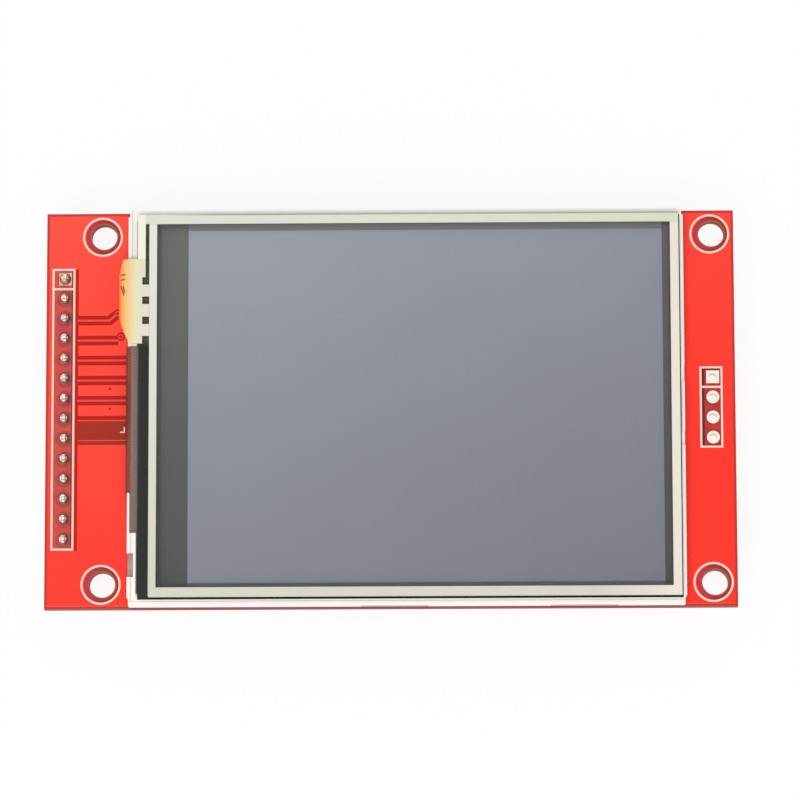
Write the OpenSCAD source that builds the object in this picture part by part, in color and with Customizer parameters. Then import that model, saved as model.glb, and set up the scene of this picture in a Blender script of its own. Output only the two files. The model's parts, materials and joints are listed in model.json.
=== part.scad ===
// Colour touch display module.
// A circuit board carries a framed liquid crystal display with a resistive touch
// panel on its front, and a pin header, a memory card socket and small surface
// mounted parts on its rear.
//
// Frame: the origin is the centre of the four mounting holes, on the rear face of
// the board. X runs along the board away from the pin header, Y runs across it,
// and Z points out of the display.

/* [Board] */
// Length of the circuit board along X
board_length = 86; // [85:0.5:104]
// Width of the circuit board along Y
board_width = 50; // [49:0.5:62]
// Thickness of the circuit board
board_thickness = 1.6; // [1.2:0.1:2.4]
// Thickness of the solder pads on both faces
pad_thickness = 0.05; // [0.04:0.01:0.08]

/* [Mounting holes] */
// Diameter of each mounting hole
hole_diameter = 3.2; // [2.2:0.1:3.4]
// Distance from the left hole centres to the left edge of the board
hole_inset_left = 7.2; // [6.6:0.1:7.6]
// Distance from the right hole centres to the right edge of the board
hole_inset_right = 2.8; // [2.7:0.1:3.6]
// Distance from the hole centres to the nearest long edge of the board
hole_inset_side = 3; // [2.7:0.1:6]

/* [Pin header] */
// Number of header pins
header_pins_count = 14; // [4:1:16]
// Distance between neighbouring pins
pin_pitch = 2.54; // [2:0.02:2.8]
// Width of the square pins
pin_width = 0.64; // [0.4:0.02:0.68]
// Length of the pins behind the rear face of the board
pin_drop = 8.54; // [5:0.1:12]
// Length of the pins in front of the front face of the board
pin_rise = 1.35; // [1.1:0.05:2]
// Distance from the pin row to the left edge of the board
header_inset = 2.35; // [2:0.05:2.6]
// Height of the centre of the pin row above the board's centre line
header_shift = 0.15; // [-1:0.05:1]
// Depth of the plastic header body
header_body_depth = 2.54; // [1.5:0.1:3.2]
// Width of the plastic header body
header_body_width = 2.5; // [2:0.1:2.8]

/* [Plated holes] */
// Bore of each plated hole
plated_bore = 1; // [0.98:0.02:1.2]
// Outer diameter of the solder ring around a plated hole
ring_pad_diameter = 1.6; // [1.4:0.05:1.75]
// Thickness of the metal wall in a plated hole
plating = 0.05; // [0.03:0.01:0.08]
// Number of holes for the card connector row
card_row_count = 4; // [2:1:6]
// Distance from the card connector row to the right edge of the board
card_row_inset = 2.8; // [2.6:0.1:4]

/* [Printed markings] */
// Width of a printed line
print_line = 0.25; // [0.15:0.01:0.3]
// Thickness of the printed ink
print_thickness = 0.05; // [0.03:0.01:0.08]
// Bare gap between a mounting hole and its printed ring
print_ring_gap = 0.65; // [0.4:0.05:0.7]
// Sideways offset of the print from the drilled holes
print_shift = -0.2; // [-0.25:0.05:0.1]
// Bare gap between the solder rings of a pin row and the printed box around it
print_box_gap = 0.38; // [0.2:0.01:0.5]

/* [Display] */
// Length of the white display frame
display_length = 69.2; // [57:0.2:70]
// Width of the white display frame
display_width = 49.9; // [43:0.1:62]
// Distance from the left edge of the board to the display frame
display_inset = 10.4; // [9.9:0.1:10.8]
// Thickness of the adhesive under the display
display_lift = 0.4; // [0.35:0.05:1]
// Thickness of the steel back tray
tray_thickness = 0.2; // [0.15:0.01:0.3]
// Thickness of the light guide
guide_thickness = 0.6; // [0.4:0.05:1]
// Thickness of each optical film
film_thickness = 0.1; // [0.06:0.01:0.15]
// Thickness of each of the two display glasses
glass_thickness = 0.35; // [0.3:0.01:0.55]
// Thickness of each polarizer
polarizer_thickness = 0.12; // [0.08:0.01:0.2]
// Gap all round the display glass in its frame
glass_clearance = 0.1; // [0.05:0.01:0.2]
// Length of the bare glass ledge that carries the driver chip
ledge_length = 2.9; // [2.7:0.1:3.2]
// Distance from the left edge of the filter glass to the polarizers
polarizer_margin_left = 3.4; // [3:0.05:5]
// Distance from the right edge of the filter glass to the polarizers
polarizer_margin_right = 1.65; // [1.3:0.05:3]
// Distance from the long edges of the filter glass to the polarizers
polarizer_margin_side = 1.2; // [1.1:0.05:3]

/* [Touch panel] */
// Distance from the left side of the display frame to the touch panel
touch_inset_left = 1.17; // [1:0.01:1.3]
// Distance from the right side of the display frame to the touch panel
touch_inset_right = 0.59; // [0.5:0.01:1]
// Distance from the long sides of the display frame to the touch panel
touch_inset_side = 0.85; // [0.6:0.01:1]
// Thickness of the adhesive ring under the touch panel
ring_tape_thickness = 0.1; // [0.08:0.01:0.3]
// Thickness of the touch glass
touch_glass_thickness = 0.76; // [0.5:0.02:1.1]
// Thickness of the clear film on top
touch_film_thickness = 0.22; // [0.15:0.01:0.3]
// Width of the pale printed border around the window
border_width = 0.95; // [0.9:0.05:1.2]
// Width of tape that shows past the right and lower sides of the touch glass
tape_show = 0.15; // [0.05:0.01:0.25]

/* [Flexible circuits] */
// Thickness of the flexible circuits
flex_thickness = 0.12; // [0.08:0.01:0.14]
// Reach of the display flex beyond the side of the frame
display_flex_reach = 0.3; // [0.25:0.05:0.6]
// Reach of the touch flex beyond the side of the frame
touch_flex_reach = 1.2; // [1.05:0.05:1.35]
// Radius of the rounded outline of the touch flex, seen from the front
touch_flex_round = 12; // [10:0.1:14]

/* [Card socket] */
// Width of the card socket
socket_width = 28; // [27:0.5:34]
// Depth of the card socket from its opening to its rear wall
socket_depth = 27.5; // [24:0.5:33]
// Height of the card socket above the board
socket_height = 2.9; // [2.8:0.1:3.5]
// Distance from the card socket to the right edge of the board
socket_inset = 12.8; // [12.4:0.1:16]
// Thickness of the socket's stamped steel shell
shell_thickness = 0.2; // [0.15:0.01:0.3]
// Width of the slot that takes the card
card_slot_width = 24.3; // [24.2:0.1:25]
// Number of card contacts
contact_count = 9; // [7:1:9]
// Distance between neighbouring card contacts
contact_pitch = 2.5; // [2.2:0.1:2.5]

/* [Hidden] */
$fn = 48;
SMALL_FN = 24;
OVER = 1;

hole_spacing_x = board_length - hole_inset_left - hole_inset_right;
hole_spacing_y = board_width - 2 * hole_inset_side;
board_right = hole_spacing_x / 2 + hole_inset_right;
board_left = board_right - board_length;
board_top = board_width / 2;

header_x = board_left + header_inset;
header_half = (header_pins_count - 1) * pin_pitch / 2;
header_ys = [for (i = [0 : header_pins_count - 1]) header_shift + header_half - i * pin_pitch];
card_row_x = board_right - card_row_inset;
card_row_half = (card_row_count - 1) * pin_pitch / 2;
card_row_ys = [for (i = [0 : card_row_count - 1]) card_row_half - i * pin_pitch];
barrel_radius = plated_bore / 2 + plating;
print_ring_radius = hole_diameter / 2 + print_ring_gap + print_line;
print_box_half = ring_pad_diameter / 2 + print_box_gap + print_line;

// Heights of the display's layers, from the board upwards.
z_front = board_thickness;
z_tray = z_front + display_lift;
z_frame = z_tray + tray_thickness;
reflector_thickness = film_thickness;
z_guide = z_frame + reflector_thickness;
z_diffuser = z_guide + guide_thickness;
z_prism_lower = z_diffuser + film_thickness;
z_prism_upper = z_prism_lower + film_thickness;
z_shield = z_prism_upper + film_thickness;
shield_thickness = 0.05;
z_rear_polarizer = z_shield + shield_thickness;
z_glass = z_rear_polarizer + polarizer_thickness;
z_filter = z_glass + glass_thickness;
z_front_polarizer = z_filter + glass_thickness;
front_gap = 0.1;
z_frame_top = z_front_polarizer + polarizer_thickness + front_gap;
bond_gap = 0.01;
z_touch = z_frame_top + ring_tape_thickness + bond_gap;
z_spacer = z_touch + touch_glass_thickness + bond_gap;
border_thickness = 0.03;
z_border_top = z_spacer + flex_thickness;
z_border = z_border_top - border_thickness;
z_film = z_border_top + bond_gap;

// Plan of the display frame and its two pockets.
frame_left = board_left + display_inset;
frame_right = frame_left + display_length;
frame_half = display_width / 2;
wall_left = 1.1;
wall_right = 0.9;
wall_side = 1.45;
glass_ledge_left = 1.2;
glass_ledge = 1;
glass_pocket_left = frame_left + wall_left;
glass_pocket_right = frame_right - wall_right;
glass_pocket_half = frame_half - wall_side;
light_pocket_left = glass_pocket_left + glass_ledge_left;
light_pocket_right = glass_pocket_right - glass_ledge;
light_pocket_half = glass_pocket_half - glass_ledge;
wall_cut_x = glass_pocket_left + 0.05;

// Plan of the display glass, its ledge and the polarizers.
glass_left = glass_pocket_left + glass_clearance;
glass_right = glass_pocket_right - glass_clearance;
glass_half = glass_pocket_half - glass_clearance;
filter_left = glass_left + ledge_length;
polarizer_left = filter_left + polarizer_margin_left;
polarizer_right = glass_right - polarizer_margin_right;
polarizer_half = glass_half - polarizer_margin_side;
bond_length = 1;
bond_end = glass_left + bond_length;
driver_gap = 0.3;
driver_left = bond_end + driver_gap;
driver_width = 1;
driver_length = 18;
driver_height = 0.3;
ledge_tape_thickness = 0.08;
ledge_tape_gap = 0.1;

// Plan of the light unit under the glass.
light_gap_left = 0.1;
light_gap = 0.15;
light_left = light_pocket_left + light_gap_left;
light_right = light_pocket_right - light_gap;
light_half = light_pocket_half - light_gap;
led_depth = 0.8;
led_length = 3;
led_spacing = 10;
led_count = 4;
led_gap = 0.1;
led_strip_lap = 0.8;
led_strip_inset = 2;
guide_left = light_left + led_depth + led_gap;
led_strip_right = guide_left + led_strip_lap;
film_left = led_strip_right + led_gap;

// Plan of the touch panel.
touch_left = frame_left + touch_inset_left;
touch_right = frame_right - touch_inset_right;
touch_half = frame_half - touch_inset_side;
bond_margin = 1.52;
border_edge = 0.15;
border_left = touch_left + bond_margin;
border_right = touch_right - border_edge;
border_half = touch_half - border_edge;
window_left = border_left + border_width;
window_right = border_right - border_width;
window_half = border_half - border_width - border_edge;

// Clips that hold the steel tray to the long sides of the frame.
clip_length = 8.4;
clip_height = 1.3;
clip_centres = [frame_left + 33.1, frame_right - 12.6];
clip_round = 0.1;
clip_window = [1.8, 0.5];
clip_window_places = [-2.4, 2.4];
clip_window_rise = 0.55;
snap_clearance = 0.08;
side_step_depth = 0.15;
corner_step = 0.2;
corner_step_length = 1;

// Places along Y of the display flex, the touch flex and the cuts in the frame.
flex_fold_low = -10.9;
flex_fold_high = 7.65;
flex_gap = 0.1;
tail_low = -9;
tail_high = 6.2;
tail_start = frame_left + 2.9;
tail_end = frame_left + 13.3;
touch_flex_low = 7.75;
touch_flex_high = 18.45;
touch_flex_peak = 14;
ear_right = frame_left + 5.5;
side_notch_low = 3.55;
side_notch_length = 3;
side_notch = [side_notch_low - frame_half, side_notch_low + side_notch_length - frame_half];
flex_wide_low = side_notch[1] + 2.5;
z_flex_low = z_front + pad_thickness;
touch_slot_right = border_left - 0.03;
touch_slot_left = touch_slot_right - 0.45;
touch_mark_width = 0.85;
touch_mark_length = 0.95;
touch_mark_left = touch_slot_right - touch_mark_width;
touch_mark_ys = [touch_flex_low, 10.2, 12.75, 15.2];
touch_slot_ys = [touch_mark_ys[3], touch_half - 1.2];
flex_joint_count = 18;
flex_joint_pitch = 0.8;

// Card socket: its place, its plastic base and its stamped shell.
socket_x = board_right - socket_inset - socket_width / 2;
socket_y = board_top - socket_depth;
rear_gap = pad_thickness;
peg_height = 1.2;
peg_radii = [0.75, 0.5];
peg_clearance = 0.05;
peg_inset = 1.2;
rail_outer = socket_width / 2 - shell_thickness;
rail_inner = card_slot_width / 2;
rear_wall = 3.5;
peg_y = rear_wall + 4;
floor_height = 0.5;
ceiling = socket_height - shell_thickness;
key_slope = 1.7;
shell_start = 1.6;
shell_round = 0.3;
shell_wall_low = 0.5;
foot_length = 1.8;
foot_reach = 1;
foot_bend = 0.2;
foot_ys = [shell_start + 0.6, socket_depth - 3.4];
tongue_xs = [-8.75, 8.75];
tongue_size = [1.6, 8.4];
tongue_gap = 0.5;
tongue_slope = 4;
tongue_root = socket_depth - 7;

// Card contacts.
contact_width = 0.6;
contact_strip = 0.15;
contact_bend = 0.12;
contact_tail = 1.3;
contact_slot_start = rear_wall + 0.3;
contact_slot_end = rear_wall + 9.5;
contact_arm = 7.6;
contact_rise = 8;
contact_tip_radius = 0.8;
contact_tip_turn = 60;

// Small parts on the rear face.
controller_body = [4.4, 5, 0.9];
controller_rows = 8;
controller_pitch = 0.65;
controller_reach = 1;
three_lead_body = [2.9, 1.3, 1];
three_lead_pitch = 0.95;
three_lead_reach = 0.6;
lead_level = 0.45;
lead_metal = 0.13;
lead_bend = 0.1;
case_lift = 0.1;
case_band = 0.02;
case_draft = 10;
chip_size = [1.6, 0.8];
chip_end = 0.3;
chip_wrap = 0.03;
chip_round = 0.1;
resistor_height = 0.45;
capacitor_height = 0.8;
chip_outline = [3, 1.5];

// Places of the small parts, as [x, y, turn]. Those that serve the header line up with
// it, and those that serve the card socket keep their distance from its sides.
controller_place = [header_x + 21.85, -13, 0];
regulator_place = [header_x + 10.35, 16.5, 0];
transistor_place = [header_x + 9.85, 6, 90];
series_x = header_x + 5.25;
supply_x = header_x + 5.45;
divider_x = header_x + 14.35;
pull_up_x = socket_x + socket_width / 2 + 4.6;
buffer_x = socket_x - socket_width / 2 - 4.5;
resistor_places = concat(
    [for (i = [0 : 4]) [series_x, -14.5 + 2.5 * i, 0]],
    [for (y = [7.5, 4]) [divider_x, y, 90]],
    [for (y = [9, 6.5]) [pull_up_x, y, 0]]
);
capacitor_places = [
    [supply_x, 17.8, 90], [supply_x, 14.4, 90], [divider_x + 0.5, 17.8, 90],
    [controller_place[0], -18, 0], [controller_place[0] + 6, -12.5, 90], [buffer_x, 3, 90]
];

// ---------------------------------------------------------------- helpers

// Box between two opposite corners.
module block(low, high) {
    translate(low) cube(high - low);
}

// Flat ring with square corners: an outer box less an inner one.
module flat_ring(left, right, half, in_left, in_right, in_half, z_low, z_high) {
    difference() {
        block([left, -half, z_low], [right, half, z_high]);
        block([in_left, -in_half, z_low - OVER], [in_right, in_half, z_high + OVER]);
    }
}

// Sheet that is centred on the X axis.
module sheet(left, right, half, z_low, thickness) {
    block([left, -half, z_low], [right, half, z_low + thickness]);
}

// Flat bend: the part of a ring between two angles less than half a turn apart.
module bend(inner, thickness, start, end) {
    far = 2 * (inner + thickness);
    middle = (start + end) / 2;
    intersection() {
        difference() {
            circle(r = inner + thickness, $fn = SMALL_FN);
            circle(r = inner, $fn = SMALL_FN);
        }
        polygon([
            [0, 0], far * [cos(start), sin(start)], far * [cos(middle), sin(middle)],
            far * [cos(end), sin(end)]
        ]);
    }
}

// Raises an outline drawn in the XZ plane to a width along Y, centred on the XZ plane.
module across_y(width) {
    translate([0, width / 2, 0]) rotate([90, 0, 0]) linear_extrude(height = width) children();
}

// Raises an outline drawn in the YZ plane to a width along X, centred on the YZ plane.
module across_x(width) {
    translate([-width / 2, 0, 0]) rotate([90, 0, 90]) linear_extrude(height = width) children();
}

// Upright round hole through everything.
module drill(x, y, radius, facets = SMALL_FN) {
    translate([x, y, -OVER])
        cylinder(r = radius, h = board_thickness + 2 * OVER, $fn = facets);
}

// Places its children at the four mounting holes.
module at_mounting_holes() {
    for (x = [-1, 1], y = [-1, 1])
        translate([x * hole_spacing_x / 2, y * hole_spacing_y / 2, 0]) children();
}

// Places its children on the rear face, turned so that their own Z leads away from it.
module on_rear(place) {
    translate([place[0], place[1], -pad_thickness])
        rotate([0, 180, 0])
            rotate([0, 0, place[2]]) children();
}

// Places its children on the rear face at the middle of the card socket's rear wall.
module at_socket() {
    translate([socket_x, socket_y, -pad_thickness]) rotate([0, 180, 0]) children();
}

// ---------------------------------------------------------------- board

module board() {
    color([0.86, 0.1, 0.07])
    difference() {
        block([board_left, -board_top, 0], [board_right, board_top, board_thickness]);
        at_mounting_holes() drill(0, 0, hole_diameter / 2, $fn);
        for (y = header_ys) drill(header_x, y, barrel_radius);
        for (y = card_row_ys) drill(card_row_x, y, barrel_radius);
        at_socket() pegs(peg_clearance, -board_thickness - OVER, OVER);
    }
}

// Printed ring around a mounting hole.
module print_ring() {
    difference() {
        cylinder(r = print_ring_radius, h = print_thickness);
        translate([0, 0, -OVER]) cylinder(r = print_ring_radius - print_line, h = 3 * OVER);
    }
}

// Printed rectangle around a row of holes, with a bar that sets off the first one.
module print_row_box(x, ys, height_low) {
    end = pin_pitch / 2 + 0.05;
    outer = print_box_half;
    inner = print_box_half - print_line;
    top = ys[0] + end;
    bottom = ys[len(ys) - 1] - end;
    translate([x, 0, height_low]) {
        difference() {
            block([-outer, bottom, 0], [outer, top, print_thickness]);
            block([-inner, bottom + print_line, -OVER], [inner, top - print_line, OVER]);
        }
        block([-inner, ys[0] - pin_pitch / 2 - print_line / 2, 0],
              [inner, ys[0] - pin_pitch / 2 + print_line / 2, print_thickness]);
    }
}

// Printed line along the outline of a box that is centred on the local origin.
module print_outline(size) {
    difference() {
        translate([-size[0] / 2, -size[1] / 2, 0]) cube([size[0], size[1], print_thickness]);
        translate([-size[0] / 2 + print_line, -size[1] / 2 + print_line, -OVER])
            cube([size[0] - 2 * print_line, size[1] - 2 * print_line, 2 * OVER]);
    }
}

module print_front() {
    corner_x = frame_left - 0.5;
    corner_y = -2.9;
    corner_line = 0.15;
    corner_leg = 0.6;
    color([1, 0.86, 0.82]) {
        at_mounting_holes()
            translate([print_shift, 0, z_front])
                print_ring();
        print_row_box(header_x + print_shift, header_ys, z_front);
        print_row_box(card_row_x + print_shift, card_row_ys, z_front);
        // Corner mark beside the display flex.
        block([corner_x - corner_leg, corner_y, z_front],
              [corner_x, corner_y + corner_line, z_front + print_thickness]);
        block([corner_x - corner_line, corner_y + corner_line, z_front],
              [corner_x, corner_y + corner_line + corner_leg, z_front + print_thickness]);
    }
}

module print_rear() {
    color([1, 0.86, 0.82]) {
        at_mounting_holes()
            translate([0, 0, -print_thickness])
                print_ring();
        print_row_box(header_x, header_ys, -print_thickness);
        print_row_box(card_row_x, card_row_ys, -print_thickness);
        for (place = concat(resistor_places, capacitor_places))
            on_rear(place) translate([0, 0, -pad_thickness]) print_outline(chip_outline);
    }
}

// ---------------------------------------------------------------- pin header

// Square pin with a short pyramid at each end, as the meeting of two outlines.
module square_pin(low, high, width) {
    half = width / 2;
    tip = half / 2;
    outline = [
        [-tip, low], [tip, low], [half, low + half], [half, high - half],
        [tip, high], [-tip, high], [-half, high - half], [-half, low + half]
    ];
    intersection() {
        across_y(width) polygon(outline);
        across_x(width) polygon(outline);
    }
}

module header_pins() {
    color([0.85, 0.72, 0.38])
    for (y = header_ys)
        translate([header_x, y, 0]) square_pin(-pin_drop, board_thickness + pin_rise, pin_width);
}

// Row of plastic cells with a V groove between neighbours on both sides.
module header_body() {
    groove = 0.9;
    low = -pad_thickness - header_body_depth;
    half = header_body_width / 2;
    color([0.06, 0.06, 0.065])
    translate([header_x, header_shift, low])
        difference() {
            block([-half, -header_half - pin_pitch / 2, 0],
                  [half, header_half + pin_pitch / 2, header_body_depth]);
            for (i = [0 : header_pins_count], side = [-1, 1])
                translate([side * half, (i - 0.5) * pin_pitch - header_half, -OVER])
                    rotate([0, 0, 45])
                        translate([-groove / 2, -groove / 2, 0])
                            cube([groove, groove, header_body_depth + 2 * OVER]);
            for (y = header_ys)
                translate([-pin_width / 2, y - header_shift - pin_width / 2, -OVER])
                    cube([pin_width, pin_width, header_body_depth + 2 * OVER]);
        }
}

// Plated hole: a thin barrel with a solder ring on each face.
module plated_hole(square_front) {
    ring = ring_pad_diameter / 2;
    length = board_thickness + 2 * pad_thickness;
    translate([0, 0, -pad_thickness])
        difference() {
            union() {
                cylinder(r = barrel_radius, h = length, $fn = SMALL_FN);
                cylinder(r = ring, h = pad_thickness, $fn = SMALL_FN);
                if (square_front)
                    block([-ring, -ring, length - pad_thickness], [ring, ring, length]);
                else
                    translate([0, 0, length - pad_thickness])
                        cylinder(r = ring, h = pad_thickness, $fn = SMALL_FN);
            }
            translate([0, 0, -OVER]) cylinder(r = plated_bore / 2, h = length + 2 * OVER, $fn = SMALL_FN);
        }
}

module header_pads() {
    color([0.83, 0.81, 0.76])
    for (i = [0 : header_pins_count - 1])
        translate([header_x, header_ys[i], 0]) plated_hole(i == 0);
}

module card_row_pads() {
    color([0.95, 0.93, 0.87])
    for (i = [0 : card_row_count - 1])
        translate([card_row_x, card_row_ys[i], 0]) plated_hole(i == 0);
}

// Solder that fills each header hole and climbs the pin with a hollow flank.
module header_solder() {
    foot = ring_pad_diameter / 2 - 0.07;
    neck = pin_width * 0.72;
    rise = pin_rise * 0.75;
    base = board_thickness + pad_thickness;
    hollow = 0.12;
    chord = norm([foot - neck, rise]);
    flank_radius = chord * chord / (8 * hollow) + hollow / 2;
    flank_out = (flank_radius - hollow) / chord;
    flank_centre = [(foot + neck) / 2 + rise * flank_out, rise / 2 + (foot - neck) * flank_out];
    color([0.78, 0.77, 0.74])
    for (y = header_ys)
        translate([header_x, y, 0])
            difference() {
                rotate_extrude($fn = SMALL_FN) {
                    square([plated_bore / 2, base + 0.01]);
                    translate([0, base])
                        difference() {
                            square([foot, rise]);
                            translate(flank_centre) circle(r = flank_radius, $fn = 2 * $fn);
                        }
                }
                block([-pin_width / 2, -pin_width / 2, -OVER],
                      [pin_width / 2, pin_width / 2, base + 2 * pin_rise]);
            }
}

// ---------------------------------------------------------------- display: support

// Double sided tape that holds the display, cut away round the flexible circuits.
module adhesive_pad() {
    left = frame_left + 2.8;
    middle = frame_left + 22;
    right = frame_right - 1.4;
    half = frame_half - 1.4;
    color([0.9, 0.9, 0.86])
    difference() {
        block([left, -half, z_front], [right, half, z_tray]);
        block([left - OVER, tail_low - 3, z_front - OVER],
              [middle, touch_flex_high + 0.95, z_tray + OVER]);
    }
}

// Outline of one tray clip: flat root, round bend and upright leg.
module clip_outline(root) {
    outer = clip_round + tray_thickness;
    translate([frame_half - root, z_tray]) square([root - outer, tray_thickness]);
    translate([frame_half - outer, z_tray + outer]) bend(clip_round, tray_thickness, 270, 360);
    translate([frame_half - tray_thickness, z_tray + outer])
        square([tray_thickness, z_frame + clip_height - z_tray - outer]);
}

// Steel tray under the light unit, cut away for the flex, with windowed clips on the
// long sides that snap over the frame.
module back_tray() {
    edge = 0.2;
    root = 0.8;
    half = frame_half - edge;
    window_low = z_frame + clip_window_rise;
    color([0.74, 0.75, 0.77]) {
        difference() {
            sheet(frame_left + edge, frame_right - edge, half, z_tray, tray_thickness);
            block([frame_left - OVER, flex_fold_low - flex_gap, z_tray - OVER],
                  [frame_left + 1, flex_fold_high + flex_gap, z_frame + OVER]);
            block([frame_left - OVER, side_notch[0], z_tray - OVER],
                  [frame_left + 0.8, side_notch[1], z_frame + OVER]);
            for (x = clip_centres, side = [-1, 1])
                block([x - clip_length / 2, side * frame_half - root + 0.1, z_tray - OVER],
                      [x + clip_length / 2, side * frame_half + root - 0.1, z_frame + OVER]);
        }
        for (x = clip_centres, turn = [0, 180])
            translate([x, 0, 0])
                rotate([0, 0, turn])
                    difference() {
                        across_x(clip_length) clip_outline(root);
                        for (place = clip_window_places)
                            translate([place - clip_window[0] / 2, frame_half - OVER / 2, window_low])
                                cube([clip_window[0], OVER, clip_window[1]]);
                    }
    }
}

// Snap wedges on the frame that stand in the windows of the tray's clips.
module snap_wedges() {
    low = z_frame + clip_window_rise + snap_clearance;
    high = low + clip_window[1] - 2 * snap_clearance;
    root = frame_half - tray_thickness - 0.1;
    outline = [[root, low], [root + 0.12, low], [frame_half - 0.02, high], [root, high]];
    for (x = clip_centres, turn = [0, 180], place = clip_window_places)
        translate([x, 0, 0])
            rotate([0, 0, turn])
                translate([place, 0, 0])
                    across_x(clip_window[0] - 2 * snap_clearance) polygon(outline);
}

// What the clips take out of one long side of the frame: their recess, and a notch that
// clears their round bend.
module clip_recess() {
    depths = [tray_thickness, tray_thickness + clip_round];
    tops = [clip_height, clip_round];
    for (x = clip_centres, i = [0, 1])
        translate([x - clip_length / 2, frame_half - depths[i], z_frame - OVER])
            cube([clip_length, depths[i] + OVER, tops[i] + OVER]);
}

// Outer corner of the frame that is set back a little on its short side.
module corner_recess(x, high) {
    translate([x - corner_step, frame_half - corner_step_length, z_frame - OVER])
        cube([2 * corner_step, corner_step_length + OVER, high]);
}

// White plastic frame: a light pocket below, a wider glass pocket above, and its cuts.
module display_frame() {
    height = z_frame_top - z_frame;
    pocket_floor = z_filter - flex_gap;
    pocket_inset = 0.25;
    notch_depth = 0.8;
    relief_depth = 0.5;
    relief_floor = z_frame_top - 0.9;
    relief_cuts = [[-5.2, -3.5], [2.8, 4.9]];
    groove_floor = z_frame_top - 0.3;
    groove_width = 0.2;
    step_floor = z_frame_top - 0.75;
    low = z_frame - OVER;
    high = z_frame_top + OVER;
    color([0.96, 0.95, 0.93]) {
        difference() {
            sheet(frame_left, frame_right, frame_half, z_frame, height);
            block([light_pocket_left, -light_pocket_half, low],
                  [light_pocket_right, light_pocket_half, high]);
            block([glass_pocket_left, -glass_pocket_half, z_glass],
                  [glass_pocket_right, glass_pocket_half, high]);
            // Gap and shallow pocket for the display flex.
            block([frame_left - OVER, flex_fold_low, low], [wall_cut_x, flex_fold_high, high]);
            block([frame_left + pocket_inset, flex_wide_low, pocket_floor],
                  [wall_cut_x, flex_fold_low + OVER, high]);
            // Small gap near the lower left corner.
            block([frame_left - OVER, side_notch[0], low],
                  [frame_left + notch_depth, side_notch[1], high]);
            // Relief cuts at both ends of a grooved stretch of the right wall.
            for (y = relief_cuts)
                block([frame_right - relief_depth, y[0], relief_floor], [frame_right + OVER, y[1], high]);
            translate([frame_right - relief_depth, relief_cuts[0][1] - 0.1, groove_floor])
                cube([groove_width, relief_cuts[1][0] - relief_cuts[0][1] + 0.2, OVER]);
            // Step along the top of both long sides.
            for (side = [-1, 1])
                block([frame_left + corner_step_length, side * frame_half - side_step_depth, step_floor],
                      [frame_right - corner_step_length, side * frame_half + side_step_depth, high]);
            for (side = [0, 1])
                mirror([0, side, 0]) {
                    clip_recess();
                    corner_recess(frame_left, height + 2 * OVER);
                    corner_recess(frame_right, height + 2 * OVER);
                }
        }
        snap_wedges();
    }
}

// ---------------------------------------------------------------- display: light unit

module reflector() {
    color([0.93, 0.94, 0.95]) sheet(light_left, light_right, light_half, z_frame, reflector_thickness);
}

module light_guide() {
    color([0.85, 0.9, 0.93]) sheet(guide_left, light_right, light_half, z_guide, guide_thickness);
}

module led_strip() {
    color([0.85, 0.65, 0.25])
    sheet(light_left, led_strip_right, light_half - led_strip_inset, z_diffuser, film_thickness);
}

module leds() {
    first = -(led_count - 1) * led_spacing / 2;
    color([0.95, 0.93, 0.75])
    for (i = [0 : led_count - 1])
        translate([light_left, first + i * led_spacing - led_length / 2, z_guide])
            cube([led_depth, led_length, guide_thickness]);
}

module diffuser() {
    color([0.95, 0.95, 0.95]) sheet(film_left, light_right, light_half, z_diffuser, film_thickness);
}

module prism_film_lower() {
    color([0.86, 0.88, 0.9]) sheet(film_left, light_right, light_half, z_prism_lower, film_thickness);
}

module prism_film_upper() {
    color([0.86, 0.88, 0.9]) sheet(film_left, light_right, light_half, z_prism_upper, film_thickness);
}

module shield_tape() {
    rim = 0.5;
    color([0.05, 0.05, 0.05])
    flat_ring(light_left, light_right, light_half,
              polarizer_left + rim, polarizer_right - rim, polarizer_half - rim,
              z_shield, z_rear_polarizer);
}

// ---------------------------------------------------------------- display: glass

module rear_polarizer() {
    color([0.2, 0.2, 0.22])
    sheet(polarizer_left, polarizer_right, polarizer_half, z_rear_polarizer, polarizer_thickness);
}

module transistor_glass() {
    color([0.35, 0.4, 0.4]) sheet(glass_left, glass_right, glass_half, z_glass, glass_thickness);
}

module filter_glass() {
    color([0.36, 0.36, 0.35]) sheet(filter_left, glass_right, glass_half, z_filter, glass_thickness);
}

module front_polarizer() {
    color([0.55, 0.57, 0.6])
    sheet(polarizer_left, polarizer_right, polarizer_half, z_front_polarizer, polarizer_thickness);
}

module driver_chip() {
    color([0.12, 0.12, 0.13])
    sheet(driver_left, driver_left + driver_width, driver_length / 2, z_filter, driver_height);
}

module ledge_tape() {
    color([0.07, 0.07, 0.07])
    sheet(glass_left, filter_left - ledge_tape_gap, glass_half - 2 * ledge_tape_gap,
          z_filter + driver_height, ledge_tape_thickness);
}

// ---------------------------------------------------------------- flexible circuits

// Strip that folds back under itself: two flat legs joined by half a round tube.
module folded_strip(x_out, y_low, y_high, z_low, z_high, low_end, high_end) {
    outer = (z_high - z_low + flex_thickness) / 2;
    inner = outer - flex_thickness;
    fold_x = x_out + outer;
    fold_z = z_low + outer;
    translate([0, y_high, 0])
        rotate([90, 0, 0])
            linear_extrude(height = y_high - y_low) {
                difference() {
                    translate([fold_x, fold_z]) circle(r = outer);
                    translate([fold_x, fold_z]) circle(r = inner);
                    translate([fold_x, fold_z - 2 * outer]) square([2 * outer, 4 * outer]);
                }
                translate([fold_x, z_low]) square([low_end - fold_x, flex_thickness]);
                translate([fold_x, z_high]) square([high_end - fold_x, flex_thickness]);
            }
}

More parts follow.
